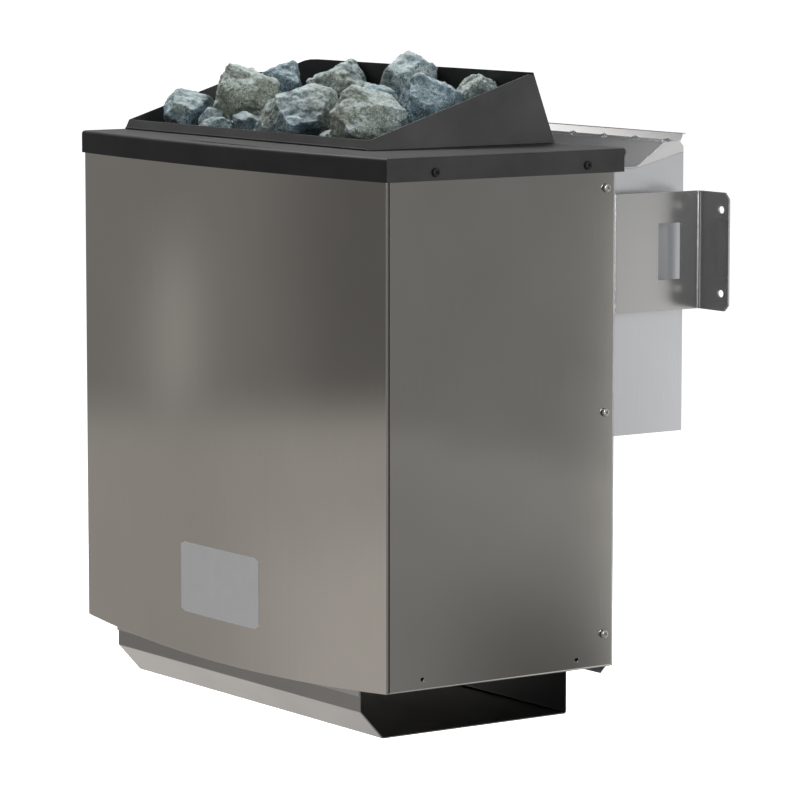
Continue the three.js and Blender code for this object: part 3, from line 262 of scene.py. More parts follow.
tube_tree, given = shape_tree("sheathed tubes", Tube_radius="Float", Rows="Int", Row_spacing="Float",
                              Finish="Material")
ring = node_in(tube_tree, "GeometryNodeCurvePrimitiveCircle",
               {"Resolution": 16, "Radius": given["Tube radius"]}).outputs[0]
tube = node_in(tube_tree, "GeometryNodeCurveToMesh",
               {"Curve": given["Geometry"], "Profile Curve": ring, "Fill Caps": True}).outputs[0]
tube = node_in(tube_tree, "GeometryNodeSetShadeSmooth", {"Geometry": tube, "Shade Smooth": True}).outputs[0]
step = node_in(tube_tree, "ShaderNodeCombineXYZ", {1: given["Row spacing"]}).outputs[0]
rows = node_in(tube_tree, "GeometryNodeMeshLine", {"Count": given["Rows"], "Offset": step}).outputs[0]
tubes = node_in(tube_tree, "GeometryNodeInstanceOnPoints", {"Points": rows, "Instance": tube}).outputs[0]
close_tree(tube_tree, tubes, given["Finish"])

tube_radius = 0.004
run_pitch = 0.060
run_turn = 0.026
inner_turn_x = 0.108
low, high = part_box("heating_element_1")
row_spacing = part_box("heating_element_2")[0].y - low.y
row_y = low.y + tube_radius
run_z = [low.z + tube_radius + run * run_pitch for run in range(4)]
left_x, pin_x = low.x + tube_radius, high.x
corners = [Vector((x, row_y, z)) for x, z in (
    (pin_x, run_z[0]), (left_x, run_z[0]), (left_x, run_z[1]), (inner_turn_x, run_z[1]),
    (inner_turn_x, run_z[2]), (left_x, run_z[2]), (left_x, run_z[3]), (pin_x, run_z[3]))]
sheath = heat_darkened("oxide on the element sheaths")
elements = grown(route_of("element route", corners, run_turn), tube_tree, "heating_elements",
                 Tube_radius=tube_radius, Rows=3, Row_spacing=row_spacing, Finish=sheath)
fitted(elements, "heater", "heated_steel", *(f"heating_element_{n}" for n in (1, 2, 3)))


# Terminals: five-pole block of unglazed steatite on a folded zinc-coated angle, behind the right side panel,
# and a black nylon gland in the back panel for the mains cable.
def steatite(name):
    made, tree, shader, place = new_finish(name, 0.0)
    grain = cloud(tree, place, 260.0, 5.0)
    give_tone(tree, shader, blended(tree, grain, (0.68, 0.64, 0.56), (0.84, 0.82, 0.76)),
              spread(tree, grain, 0.5, 0.7))
    relief(tree, shader, grain, 0.1, 0.0003)
    return made


def moulded_nylon(name):
    made, tree, shader, place = new_finish(name, 0.0)
    skin = cloud(tree, place, 1200.0, 3.0)
    give_tone(tree, shader, blended(tree, skin, (0.018, 0.018, 0.02), (0.032, 0.032, 0.035)),
              spread(tree, skin, 0.4, 0.52))
    relief(tree, shader, skin, 0.12, 0.0002)
    return made


block_edge, gland_edge = 0.0005, 0.0004
inner_zinc = zinc_coat("zinc coat of the inner sheets")
fitted(eased_sheet("terminal_carrier", sheet_edge, inner_zinc),
       "heater", "galvanised_sheet", "terminal_carrier")
fitted(eased_sheet("terminal_block", block_edge, steatite("steatite of the terminal block")),
       "heater", "terminal_ceramic", "terminal_block")
fitted(eased_sheet("cable_gland", gland_edge, moulded_nylon("nylon of the cable gland")),
       "heater", "gland_plastic", "cable_gland")

# Back panel: zinc-coated sheet with edges turned forward between the side panels and a lip below.
# Side screws go into its turned edges, and brackets, tank rails and gland are fixed on its face.
back_zinc = zinc_coat("zinc coat of the back panel", (0.64, 0.65, 0.66), (0.52, 0.53, 0.54))
fitted(eased_sheet("back_panel", sheet_edge, back_zinc), "heater", "galvanised_sheet", "back_panel")


# Casing: two flat side panels and a bowed front panel, folded from stainless sheet with a fine upright grind.
# The sides are screwed to the back panel, and the front's turned edges hook in behind them.
def brushed(tree, shader, line, share):
    shader.inputs["Anisotropic"].default_value = share
    shader.inputs["Anisotropic Rotation"].default_value = 0.25
    way = node_in(tree, "ShaderNodeCombineXYZ", dict(enumerate(line))).outputs[0]
    tree.links.new(way, shader.inputs["Tangent"])


def ground_stainless(name, bright=(0.55, 0.535, 0.505), dull=(0.49, 0.475, 0.445), low=0.08, high=0.115):
    made, tree, shader, place = new_finish(name, 1.0)
    grind = cloud(tree, place, 1.0, 3.0, 0.55, (1300, 1300, 14))
    wipe = cloud(tree, place, 7.0, 3.0)
    tone = scaled_sum(tree, grind, 0.6, wipe)
    give_tone(tree, shader, blended(tree, spread(tree, tone, 0, 1, 0.4, 1.2), dull, bright),
              spread(tree, tone, low, high, 0.4, 1.2))
    relief(tree, shader, grind, 0.02, 0.0002)
    brushed(tree, shader, (0, 0, 1), 0.35)
    return made


casing_steel = ground_stainless("ground stainless of the casing")
casing = {}
for node in ("right_side_panel", "left_side_panel", "front_panel"):
    casing[node] = fitted(eased_sheet(node, sheet_edge, casing_steel), "heater", "stainless_casing", node)


# Data plate: blank silver foil stuck on the front panel, low and left of the middle, following its bow.
# It has cut corners and a dull lacquer, and nothing is printed on it.
def silver_foil(name):
    made, tree, shader, place = new_finish(name, 0.35)
    crease = cloud(tree, place, 60.0, 3.0)
    give_tone(tree, shader, blended(tree, crease, (0.66, 0.665, 0.675), (0.74, 0.745, 0.755)),
              spread(tree, crease, 0.36, 0.5))
    relief(tree, shader, crease, 0.04, 0.0005)
    return made


def faces_of(piece):
    corners = [corner.co for corner in piece.data.vertices]
    return BVHTree.FromPolygons(corners, [face.vertices for face in piece.data.polygons])


plate_left, plate_right = -0.064, 0.070
plate_low, plate_high = 0.0835, 0.150
plate_corner, plate_glue, plate_foil = 0.0025, 0.00002, 0.00025
columns = 20
front_face = faces_of(casing["front_panel"])
plate = bmesh.new()
rows_of_plate = []
for column in range(columns + 1):
    x = plate_left + (plate_right - plate_left) * column / columns
    cut = max(0.0, plate_corner - min(x - plate_left, plate_right - x))
    pair = []
    for z in (plate_low + cut, plate_high - cut):
        hit = front_face.ray_cast(Vector((x, -1, z)), Vector((0, 1, 0)))[0]
        pair.append([plate.verts.new(hit - Vector((0, lift, 0))) for lift in (plate_glue, plate_foil)])
    rows_of_plate.append(pair)
for (low_a, high_a), (low_b, high_b) in zip(rows_of_plate, rows_of_plate[1:]):
    plate.faces.new((low_a[1], low_b[1], high_b[1], high_a[1]))
    plate.faces.new((low_a[0], high_a[0], high_b[0], low_b[0]))
    plate.faces.new((low_a[0], low_b[0], low_b[1], low_a[1]))
    plate.faces.new((high_a[0], high_a[1], high_b[1], high_b[0]))
for low_end, high_end in (rows_of_plate[0], rows_of_plate[-1]):
    plate.faces.new((low_end[0], low_end[1], high_end[1], high_end[0]))
bmesh.ops.recalc_face_normals(plate, faces=plate.faces)
foil = plain_piece(maker_of(plate, "foil blank", silver_foil("lacquered silver foil")), "data_plate")
foil.data.set_sharp_from_angle(angle=math.radians(40))
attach(foil, "heater")


# Top cap: deep-drawn steel sheet with a skirt all round, coated matt black against the heat.
# It slips over the panels' upper edges, is screwed through the skirt, and its mouth lies over the shaft.
def black_coat(name, tone=0.0245):
    made, tree, shader, place = new_finish(name, 0.0)
    shader.inputs["Specular IOR Level"].default_value = 0.13
    skin = cloud(tree, place, 1500.0, 2.0)
    dust = cloud(tree, place, 22.0, 6.0, 0.6)
    dark = (tone, tone, tone * 1.02)
    dusty = (tone * 1.45, tone * 1.42, tone * 1.4)
    give_tone(tree, shader, blended(tree, spread(tree, dust, 0, 1, 0.35, 0.75), dark, dusty),
              spread(tree, dust, 0.5, 0.64))
    relief(tree, shader, skin, 0.1, 0.0003)
    return made


coated_edge = 0.0004
cap_coat = black_coat("black coat of the cap")
fitted(eased_sheet("top_cap", coated_edge, cap_coat), "heater", "black_coat", "top_cap")

# Stone grate: round bars welded across two upright flats, hung in slots of the shaft under the stones.
# Bare heat-proof steel, scaled dark by the elements below.
grate_tree, given = shape_tree("welded grate", Bar_radius="Float", Bar_length="Float", Bars="Int",
                               Bar_pitch="Float", First_bar="Vector", Flat_size="Vector",
                               Flat_spacing="Float", First_flat="Vector", Finish="Material")
bar = node_in(grate_tree, "GeometryNodeMeshCylinder",
              {"Vertices": 18, "Radius": given["Bar radius"], "Depth": given["Bar length"]}).outputs[0]
step = node_in(grate_tree, "ShaderNodeCombineXYZ", {0: given["Bar pitch"]}).outputs[0]
line = node_in(grate_tree, "GeometryNodeMeshLine",
               {"Count": given["Bars"], "Start Location": given["First bar"], "Offset": step}).outputs[0]
bars = node_in(grate_tree, "GeometryNodeInstanceOnPoints",
               {"Points": line, "Instance": bar, "Rotation": (math.pi / 2, 0, 0)}).outputs[0]
flat = node_in(grate_tree, "GeometryNodeMeshCube", {"Size": given["Flat size"]}).outputs[0]
stride = node_in(grate_tree, "ShaderNodeCombineXYZ", {1: given["Flat spacing"]}).outputs[0]
pair = node_in(grate_tree, "GeometryNodeMeshLine",
               {"Count": 2, "Start Location": given["First flat"], "Offset": stride}).outputs[0]
flats = node_in(grate_tree, "GeometryNodeInstanceOnPoints", {"Points": pair, "Instance": flat}).outputs[0]
welded = grate_tree.nodes.new("GeometryNodeJoinGeometry")
for part in (bars, flats):
    grate_tree.links.new(part, welded.inputs[0])
close_tree(grate_tree, welded.outputs[0], given["Finish"])

low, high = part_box("stone_grate")
bar_radius, bar_pitch, bar_count = 0.004, 0.026, 15
flat_width, flat_height, flat_inset = 0.005, 0.020, 0.0344
bar_z = high.z - bar_radius
bar_x = (low.x + high.x - (bar_count - 1) * bar_pitch) / 2
flat_z = low.z + flat_height / 2
flat_y = low.y + flat_inset
grate = grown(maker_of(bmesh.new(), "grate blank"), grate_tree, "welded_grate",
              Bar_radius=bar_radius, Bar_length=high.y - low.y, Bars=bar_count, Bar_pitch=bar_pitch,
              First_bar=(bar_x, (low.y + high.y) / 2, bar_z),
              Flat_size=(high.x - low.x, flat_width, flat_height),
              Flat_spacing=high.y - low.y - 2 * flat_inset,
              First_flat=((low.x + high.x) / 2, flat_y, flat_z), Finish=heat_darkened("scale on the grate"))
grate.data.set_sharp_from_angle(angle=math.radians(40))
fitted(grate, "heater", "heated_steel", "stone_grate")

# Stone guard: four walls of black-coated sheet, low in front and high behind, folded in one with the flange
# that lies on the cap round its mouth. It keeps the stones in and water off the casing.
guard_coat = black_coat("black coat of the guard", 0.037)
fitted(eased_sheet("stone_guard", coated_edge, guard_coat), "heater", "black_coat", "stone_guard")


# Stones: broken olivine rock, piled loose on the grate up to the guard's edge.
# Their faces are fresh fractures, scalloped and rough, blue-grey to olive with pale grains and dusty ridges.
# Smaller stones lie on the grate in the gaps between them.
# Painted light in this finish: shade in the hollows, and light from above mixed with dust on the upward
# faces.
def olivine(name):
    made, tree, shader, place = new_finish(name, 0.0)
    tone = node_in(tree, "ShaderNodeAttribute", attribute_name="tone").outputs["Fac"]
    ridge = node_in(tree, "ShaderNodeAttribute", attribute_name="ridge").outputs["Fac"]
    upward = node_in(tree, "ShaderNodeSeparateXYZ",
                     {0: tree.nodes.new("ShaderNodeNewGeometry").outputs["Normal"]}).outputs["Z"]
    patch = cloud(tree, place, 17.0, 4.0, 0.6)
    blue = scaled_sum(tree, patch, 2.6, tone)
    body = blended(tree, spread(tree, blue, 0, 1, 1.05, 1.75), (0.30, 0.325, 0.245), (0.135, 0.225, 0.28))
    stain = cloud(tree, place, 75.0, 5.0, 0.6)
    body = blended(tree, spread(tree, stain, 0, 0.75, 0.5, 0.3), body, (0.05, 0.075, 0.075))
    mottle = cloud(tree, place, 400.0, 6.0, 0.72)
    body = blended(tree, spread(tree, mottle, 0, 0.85, 0.52, 0.38), body, (0.04, 0.06, 0.06))
    grain = node_in(tree, "ShaderNodeTexVoronoi", {"Vector": place, "Scale": 900.0}).outputs["Color"]
    grain = node_in(tree, "ShaderNodeSeparateColor", {0: grain}).outputs[0]
    pale = product(tree, spread(tree, grain, 0, 0.85, 0.5, 1.0), spread(tree, stain, 0.2, 1, 0.4, 0.62))
    body = blended(tree, pale, body, (0.58, 0.67, 0.66))
    # Upward faces turn pale: partly settled dust, partly painted light from above.
    dusty = product(tree, spread(tree, upward, 0, 0.68, 0.35, 0.95), spread(tree, stain, 0.1, 1, 0.34, 0.58))
    body = blended(tree, dusty, body, (0.52, 0.60, 0.61))
    body = blended(tree, spread(tree, ridge, 0, 0.6, 0.55, 0.9), body, (0.56, 0.63, 0.61))
    # Low points between the scallops go dark: painted shade in the hollows.
    body = blended(tree, spread(tree, ridge, 0.6, 0, 0.05, 0.34), body, (0.06, 0.085, 0.085))
    give_tone(tree, shader, body, spread(tree, mottle, 0.72, 0.95))
    relief(tree, shader, cloud(tree, place, 260.0, 8.0, 0.78), 1.0, 0.0036)
    return made


stone_tree, given = shape_tree("fractured face", Seed="Float", Bulge="Float", Scallop_size="Float",
                               Scallop_depth="Float", Grit_depth="Float", Tone="Float", Finish="Material")
spot = stone_tree.nodes.new("GeometryNodeInputPosition").outputs[0]
way_out = stone_tree.nodes.new("GeometryNodeInputNormal").outputs[0]
own = node_in(stone_tree, "ShaderNodeVectorMath", {0: spot, 1: given["Seed"]}, operation="ADD").outputs[0]
swell = spread(stone_tree, cloud(stone_tree, own, 34.0), -1.1, 0.6)
warp = node_in(stone_tree, "ShaderNodeTexNoise",
               {"Vector": own, "Scale": 60.0, "Detail": 3.0}).outputs["Color"]
warp = node_in(stone_tree, "ShaderNodeVectorMath", {0: warp, 1: (0.022, 0.022, 0.022), 2: own},
               operation="MULTIPLY_ADD").outputs[0]
per_metre = node_in(stone_tree, "ShaderNodeMath", {0: 1.0, 1: given["Scallop size"]},
                    operation="DIVIDE").outputs[0]
scallop = node_in(stone_tree, "ShaderNodeTexVoronoi",
                  {"Vector": warp, "Scale": per_metre, "Detail": 2.0}).outputs["Distance"]
fine = cloud(stone_tree, own, 190.0, 5.0, 0.6)
lift = product(stone_tree, swell, given["Bulge"])
dent = spread(stone_tree, scallop, -0.75, 0.45, 0.2, 1.15)
lift = scaled_sum(stone_tree, dent, given["Scallop depth"], lift)
lift = scaled_sum(stone_tree, spread(stone_tree, fine, -1, 1), given["Grit depth"], lift)
push = node_in(stone_tree, "ShaderNodeVectorMath", {0: way_out, "Scale": lift}, operation="SCALE").outputs[0]
rough = node_in(stone_tree, "GeometryNodeSetPosition",
                {"Geometry": given["Geometry"], "Offset": push}).outputs[0]
crest = spread(stone_tree, scallop, 0, 0.7, 0.2, 1.15)
crest = scaled_sum(stone_tree, crest, 0.55, spread(stone_tree, fine, -0.1, 0.45))
for label, value in (("ridge", crest), ("tone", given["Tone"])):
    rough = node_in(stone_tree, "GeometryNodeStoreNamedAttribute",
                    {"Geometry": rough, "Name": label, "Value": value}, domain="POINT").outputs[0]
close_tree(stone_tree, rough, given["Finish"])

rock = olivine("broken olivine")


def middle_of(shape):
    return sum((v.co for v in shape.verts), Vector()) / len(shape.verts)


def dots_at(name, places):
    mesh = bpy.data.meshes.new(name)
    mesh.from_pydata(places, [], [])
    maker = bpy.data.objects.new(name, mesh)
    bpy.context.scene.collection.objects.link(maker)
    return maker


def rock_of(shape, name, grid, **looks):
    maker = maker_of(shape, name + "_blank")
    fine_grid = maker.modifiers.new("fine grid", "REMESH")
    fine_grid.mode = "VOXEL"
    fine_grid.voxel_size = grid
    worn = maker.modifiers.new("worn corners", "SMOOTH")
    worn.factor = 0.5
    worn.iterations = 1
    stone = grown(maker, stone_tree, name, Finish=rock, **looks)
    stone.data.shade_smooth()
    return stone


walls = bmesh.new()
for node in ("stone_guard", "top_cap", "heating_shaft"):
    walls.from_mesh(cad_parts[node].data)
level_share = 0.7
level_faces = [face for face in walls.faces if abs(face.normal.z) > level_share]
bmesh.ops.delete(walls, geom=level_faces, context="FACES_ONLY")
wall_faces = BVHTree.FromBMesh(walls)
walls.free()
wall_gap = 0.0004
stone_tones = {"stone_11": 0.3, "stone_12": 0.08, "stone_13": 0.0, "stone_14": -0.4, "stone_15": 0.45,
               "stone_16": 0.8, "stone_17": -0.1, "stone_18": 0.25, "stone_19": 0.45, "stone_20": 0.05}
usual_tone = 0.1
first_seen, fine_voxel, coarse_voxel = 10, 0.0014, 0.0026
stone_count, stone_cuts, least_span, most_span = 20, 12, 0.91, 0.99
first_chance, seed_step = 700, 3.7
large_stones = []
for count in range(1, stone_count + 1):
    node = f"stone_{count:02d}"
    chance = random.Random(first_chance + count)
    shape = merged_copy(node)
    middle = middle_of(shape)
    for _ in range(stone_cuts):
        heading = Vector((chance.gauss(0, 1), chance.gauss(0, 1), chance.gauss(0, 1))).normalized()
        reach = max((v.co - middle).dot(heading) for v in shape.verts)
        span = reach * chance.uniform(least_span, most_span)
        sliced = bmesh.ops.bisect_plane(shape, geom=[*shape.verts, *shape.edges, *shape.faces], dist=1e-7,
                                        plane_co=middle + heading * span, plane_no=heading, clear_outer=True)
        rim = [part for part in sliced["geom_cut"] if isinstance(part, bmesh.types.BMEdge)]
        if len(rim) > 2:
            bmesh.ops.contextual_create(shape, geom=rim)
    bmesh.ops.recalc_face_normals(shape, faces=shape.faces)
    voxel = fine_voxel if count >= first_seen else coarse_voxel
    stone = rock_of(shape, node + "_rock", voxel, Seed=count * seed_step, Bulge=0.0036, Scallop_size=0.024,
                    Scallop_depth=0.0042, Grit_depth=0.0022, Tone=stone_tones.get(node, usual_tone))
    for corner in stone.data.vertices:
        reach = corner.co - middle
        room = wall_faces.ray_cast(middle, reach, reach.length + wall_gap)[3]
        if room is not None:
            corner.co = middle + reach.normalized() * (room - wall_gap)
    low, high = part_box(node)
    mean_half = sum(high - low) / 6
    large_stones.append((middle, mean_half))
    fitted(stone, "heater", "sauna_stone", node)

fill_tree, given = shape_tree("stones of the fill", First_stone="Object", Second_stone="Object", Seed="Int",
                              Least_size="Float", Most_size="Float", Finish="Material")
kinds = fill_tree.nodes.new("GeometryNodeJoinGeometry")
for kind in ("First stone", "Second stone"):
    stone = node_in(fill_tree, "GeometryNodeObjectInfo", {"Object": given[kind], "As Instance": True})
    fill_tree.links.new(stone.outputs["Geometry"], kinds.inputs[0])
full_turn = (math.tau, math.tau, math.tau)
turn = node_in(fill_tree, "FunctionNodeRandomValue", {1: full_turn, "Seed": given["Seed"]},
               data_type="FLOAT_VECTOR").outputs[0]
size = node_in(fill_tree, "FunctionNodeRandomValue",
               {2: given["Least size"], 3: given["Most size"], "Seed": given["Seed"]},
               data_type="FLOAT").outputs[1]
laid = node_in(fill_tree, "GeometryNodeInstanceOnPoints",
               {"Points": given["Geometry"], "Instance": kinds.outputs[0], "Pick Instance": True,
                "Rotation": turn, "Scale": size}).outputs[0]
close_tree(fill_tree, laid, given["Finish"])

fill_radius, fill_margin, fill_rise, fill_voxel = 0.019, 0.023, 0.016, 0.0017
fill_tries, fill_chance = 9000, 81
fill_seat, fill_reach, fill_spacing = 0.9 * fill_radius, 0.25 * fill_radius, 1.35 * fill_radius
patterns = []
for node, tone in (("stone_13", 0.3), ("stone_20", -0.1)):
    shape = merged_copy(node)
    middle = middle_of(shape)
    reach = max((v.co - middle).length for v in shape.verts)
    for corner in shape.verts:
        corner.co = (corner.co - middle) * (fill_radius / reach)
    patterns.append(rock_of(shape, node + " fill pattern", fill_voxel, Seed=reach * 100, Bulge=0.0016,
                            Scallop_size=0.016, Scallop_depth=0.0024, Grit_depth=0.0016, Tone=tone))
chance = random.Random(fill_chance)
low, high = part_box("stone_grate")
places = []
for _ in range(fill_tries):
    place = Vector((chance.uniform(low.x + fill_margin, high.x - fill_margin),
                    chance.uniform(low.y + fill_margin, high.y - fill_margin),
                    high.z + fill_seat + chance.uniform(0, fill_rise)))
    if (all((place - middle).length > half + fill_reach for middle, half in large_stones)
            and all((place - other).length > fill_spacing for other in places)):
        places.append(place)
fill = grown(dots_at("fill places", places), fill_tree, "stone_fill", First_stone=patterns[0],
             Second_stone=patterns[1], Seed=4, Least_size=0.85, Most_size=1.2, Finish=rock)
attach(fill, "heater")
for pattern in patterns:
    bpy.data.objects.remove(pattern)


# Wall brackets: stainless sheet folded to a screw tab, a side plate with a window and a slotted flange.
# They are screwed to the back panel, and wall screws through the two slots carry the heater.
def bright_stainless(name, bright, dull, low, high, line=(0, 0, 1)):
    made, tree, shader, place = new_finish(name, 1.0)
    stretch = tuple(11 if part else 1500 for part in line)
    brush = cloud(tree, place, 1.0, 4.0, 0.6, stretch)
    wipe = cloud(tree, place, 9.0, 3.0)
    tone = scaled_sum(tree, brush, 0.8, wipe)
    give_tone(tree, shader, blended(tree, spread(tree, tone, 0, 1, 0.55, 1.25), dull, bright),
              spread(tree, tone, high, low, 0.55, 1.25))
    brushed(tree, shader, line, 0.45)
    return made


bracket_edge = 0.0004
bracket_steel = bright_stainless("stainless of the brackets",
                                 (0.51, 0.51, 0.507), (0.49, 0.49, 0.487), 0.25, 0.27)
for node in ("wall_bracket_right", "wall_bracket_left"):
    fitted(eased_sheet(node, bracket_edge, bracket_steel), "heater", "stainless_bright", node)

# Evaporator tank: bright sheet brushed upright, folded round front, floor and back between welded ends.
# Two zinc-coated rails hold it off the back panel.
# Its heater enters low on the left, and a brass stub drains it.
rail_zinc = zinc_coat("zinc coat of the rails")
for node in ("tank_rail_lower", "tank_rail_upper"):
    fitted(eased_sheet(node, thin_edge, rail_zinc), "heater", "galvanised_sheet", node)
tank_steel = bright_stainless("brushed sheet of the tank",
                              (0.62, 0.63, 0.652), (0.56, 0.57, 0.592), 0.26, 0.34)
fitted(eased_sheet("evaporator_tank", sheet_edge, tank_steel),
       "heater", "stainless_bright", "evaporator_tank")

low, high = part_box("evaporator_element")
tank_turn = 0.018
corners = [Vector((x, y, (low.z + high.z) / 2)) for x, y in (
    (low.x, low.y + tube_radius), (high.x - tube_radius, low.y + tube_radius),
    (high.x - tube_radius, high.y - tube_radius), (low.x, high.y - tube_radius))]
limed_sheath = heat_darkened("lime-dulled sheath", (0.42, 0.41, 0.39), (0.24, 0.23, 0.22))
tank_heater = grown(route_of("tank heater route", corners, tank_turn), tube_tree, "tank_heater",
                    Tube_radius=tube_radius, Rows=1, Row_spacing=0.0, Finish=limed_sheath)
fitted(tank_heater, "heater", "heated_steel", "evaporator_element")


def turned_brass(name):
    made, tree, shader, place = new_finish(name, 1.0)
    cut = cloud(tree, place, 1.0, 2.0, 0.5, (60, 60, 2500))
    give_tone(tree, shader, blended(tree, cut, (0.50, 0.36, 0.15), (0.62, 0.47, 0.22)),
              spread(tree, cut, 0.24, 0.36))
    relief(tree, shader, cut, 0.08, 0.0002)
    return made


drain_brass = turned_brass("turned brass of the drain")
fitted(eased_sheet("drain_stub", sheet_edge, drain_brass), "heater", "drain_brass", "drain_stub")

# Herb tray: bright sheet laid loose on the tank, with a slotted floor for herbs, a slope, a riveted ledge
# and a hemmed rim at the wall, and wedge-shaped ends. It lifts straight off to fill the tank.
hemmed_edge = 0.00022
herb_steel = bright_stainless("bright sheet of the herb tray",
                              (0.90, 0.905, 0.92), (0.86, 0.865, 0.88), 0.10, 0.13, (1, 0, 0))
tray = fitted(eased_sheet("herb_tray", hemmed_edge, herb_steel), "tray", "stainless_bright", "herb_tray")

rivet_tree, given = shape_tree("row of rivets", Rivets="Int", Pitch="Float", First="Vector",
                               Head_radius="Float", Head_height="Float", Finish="Material")
dome = node_in(rivet_tree, "GeometryNodeMeshUVSphere",
               {"Segments": 20, "Rings": 12, "Radius": 1.0}).outputs[0]
dome = node_in(rivet_tree, "GeometryNodeSetShadeSmooth", {"Geometry": dome, "Shade Smooth": True}).outputs[0]
step = node_in(rivet_tree, "ShaderNodeCombineXYZ", {0: given["Pitch"]}).outputs[0]
row = node_in(rivet_tree, "GeometryNodeMeshLine",
              {"Count": given["Rivets"], "Start Location": given["First"], "Offset": step}).outputs[0]
size = node_in(rivet_tree, "ShaderNodeCombineXYZ",
               {0: given["Head radius"], 1: given["Head radius"], 2: given["Head height"]}).outputs[0]
heads = node_in(rivet_tree, "GeometryNodeInstanceOnPoints",
                {"Points": row, "Instance": dome, "Scale": size}).outputs[0]
close_tree(rivet_tree, heads, given["Finish"])

rivet_count, rivet_inset, rivet_from_wall = 10, 0.018, 0.0125
rivet_radius, rivet_height = 0.0029, 0.0022
low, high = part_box("herb_tray")
rivet_left, rivet_right = low.x + rivet_inset, high.x - rivet_inset
tray_face = faces_of(tray)
ledge = tray_face.ray_cast(Vector((rivet_left, -rivet_from_wall, 1)), Vector((0, 0, -1)))[0]
rivet_steel = heat_darkened("dull rivet heads", (0.20, 0.20, 0.21), (0.12, 0.12, 0.13))
rivets = grown(maker_of(bmesh.new(), "rivet blank"), rivet_tree, "herb_tray_rivets", Rivets=rivet_count,
               Pitch=(rivet_right - rivet_left) / (rivet_count - 1), First=ledge, Head_radius=rivet_radius,
               Head_height=rivet_height, Finish=rivet_steel)
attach(rivets, "tray")

# Air tray: channel folded from zinc-coated sheet, hung open-ended between the pan's lips.
# It leads cool air in from both sides and keeps the floor from the heat. Its inside is painted near black as
# shade.
low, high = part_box("air_deflector_tray")
tray_middle = (low + high) / 2
smallest_face, end_share = 1e-4, 0.5


# Faces on the inside of the channel, which get the painted shade.
def painted_shade_faces(face):
    inward = tray_middle - face.calc_center_median()
    looks_in = face.normal.y * inward.y + face.normal.z * inward.z > 0
    return abs(face.normal.x) < end_share and looks_in and face.calc_area() > smallest_face


tray_steel = bright_stainless("sheet of the air tray",
                              (0.33, 0.33, 0.327), (0.29, 0.29, 0.287), 0.18, 0.24, (1, 0, 0))
# Near-black painted shade on the tray's inner faces, where shadow falls inside the channel.
tray_inside_shade = black_coat("painted shade inside the air tray", 0.005)
fitted(eased_sheet("air_deflector_tray", sheet_edge, tray_steel, tray_inside_shade, inner=painted_shade_faces),
       "heater", "galvanised_sheet", "air_deflector_tray")


# Screws: pan heads with a cross recess. Zinc-plated ones hold the sides and the brackets to the back panel,
# and black ones hold the cap's skirt to the sides.
def zinc_plate(name):
    made, tree, shader, place = new_finish(name, 1.0)
    wear = cloud(tree, place, 900.0, 4.0)
    give_tone(tree, shader, blended(tree, wear, (0.40, 0.40, 0.39), (0.55, 0.55, 0.54)),
              spread(tree, wear, 0.22, 0.4))
    relief(tree, shader, wear, 0.06, 0.0002)
    return made


head_radius, head_height, head_round = 0.004, 0.0028, 0.0014
shank_radius, shank_length = 0.002, 0.009
tip_radius, tip_height, head_chamfer = 0.0014, 0.0006, 0.0003
recess_length, recess_width, recess_depth = 0.0044, 0.0010, 0.0018
profile = [(0.0, -shank_length), (tip_radius, -shank_length), (shank_radius, tip_height - shank_length),
           (shank_radius, 0.0), (head_radius - head_chamfer, 0.0), (head_radius, head_chamfer),
           (head_radius, head_height - head_round)]
for angle in map(math.radians, (25, 50, 70, 90)):
    profile.append((head_radius - head_round * (1 - math.cos(angle)),
                    head_height - head_round * (1 - math.sin(angle))))
profile.append((0.0, head_height))
sides = 24
screw = bmesh.new()
rings = []
for radius, z in profile:
    angles = [math.tau * side / sides for side in range(sides)] if radius else [0.0]
    rings.append([screw.verts.new((radius * math.cos(a), radius * math.sin(a), z)) for a in angles])
for ring, above in zip(rings, rings[1:]):
    for side in range(sides):
        here, following = side, side + 1
        corners = [ring[here % len(ring)], ring[following % len(ring)],
                   above[following % len(above)], above[here % len(above)]]
        screw.faces.new(list(dict.fromkeys(corners)))
bmesh.ops.recalc_face_normals(screw, faces=screw.faces)
pattern = maker_of(screw, "screw blank")
blades = []
for turn in (0, 90):
    blade = bmesh.new()
    seat = Matrix.Translation((0, 0, head_height)) @ Matrix.Rotation(math.radians(turn), 4, "Z")
    size = Matrix.Diagonal((recess_length, recess_width, 2 * recess_depth, 1))
    bmesh.ops.create_cube(blade, size=1, matrix=seat @ size)
    blades.append(maker_of(blade, "recess blade"))
    recess = pattern.modifiers.new("cross recess", "BOOLEAN")
    recess.operation = "DIFFERENCE"
    recess.object = blades[-1]
pattern = plain_piece(pattern, "screw pattern")
pattern.data.set_sharp_from_angle(angle=math.radians(35))
for blade in blades:
    bpy.data.objects.remove(blade)

screw_tree, given = shape_tree("screws in their places", Screw="Object", Finish="Material")
body = node_in(screw_tree, "GeometryNodeObjectInfo", {"Object": given["Screw"]}).outputs["Geometry"]
facing = node_in(screw_tree, "GeometryNodeInputNamedAttribute", {"Name": "facing"},
                 data_type="FLOAT_VECTOR").outputs[0]
turned = node_in(screw_tree, "FunctionNodeAlignRotationToVector", {"Vector": facing}, axis="Z").outputs[0]
most_spin = 1.5
spin = node_in(screw_tree, "FunctionNodeRandomValue", {2: 0.0, 3: most_spin, "Seed": 5},
               data_type="FLOAT").outputs[1]
twist = node_in(screw_tree, "ShaderNodeCombineXYZ", {2: spin}).outputs[0]
turned = node_in(screw_tree, "FunctionNodeRotateRotation", {0: turned, 1: twist},
                 rotation_space="LOCAL").outputs[0]
set_in = node_in(screw_tree, "GeometryNodeInstanceOnPoints",
                 {"Points": given["Geometry"], "Instance": body, "Rotation": turned}).outputs[0]
close_tree(screw_tree, set_in, given["Finish"])

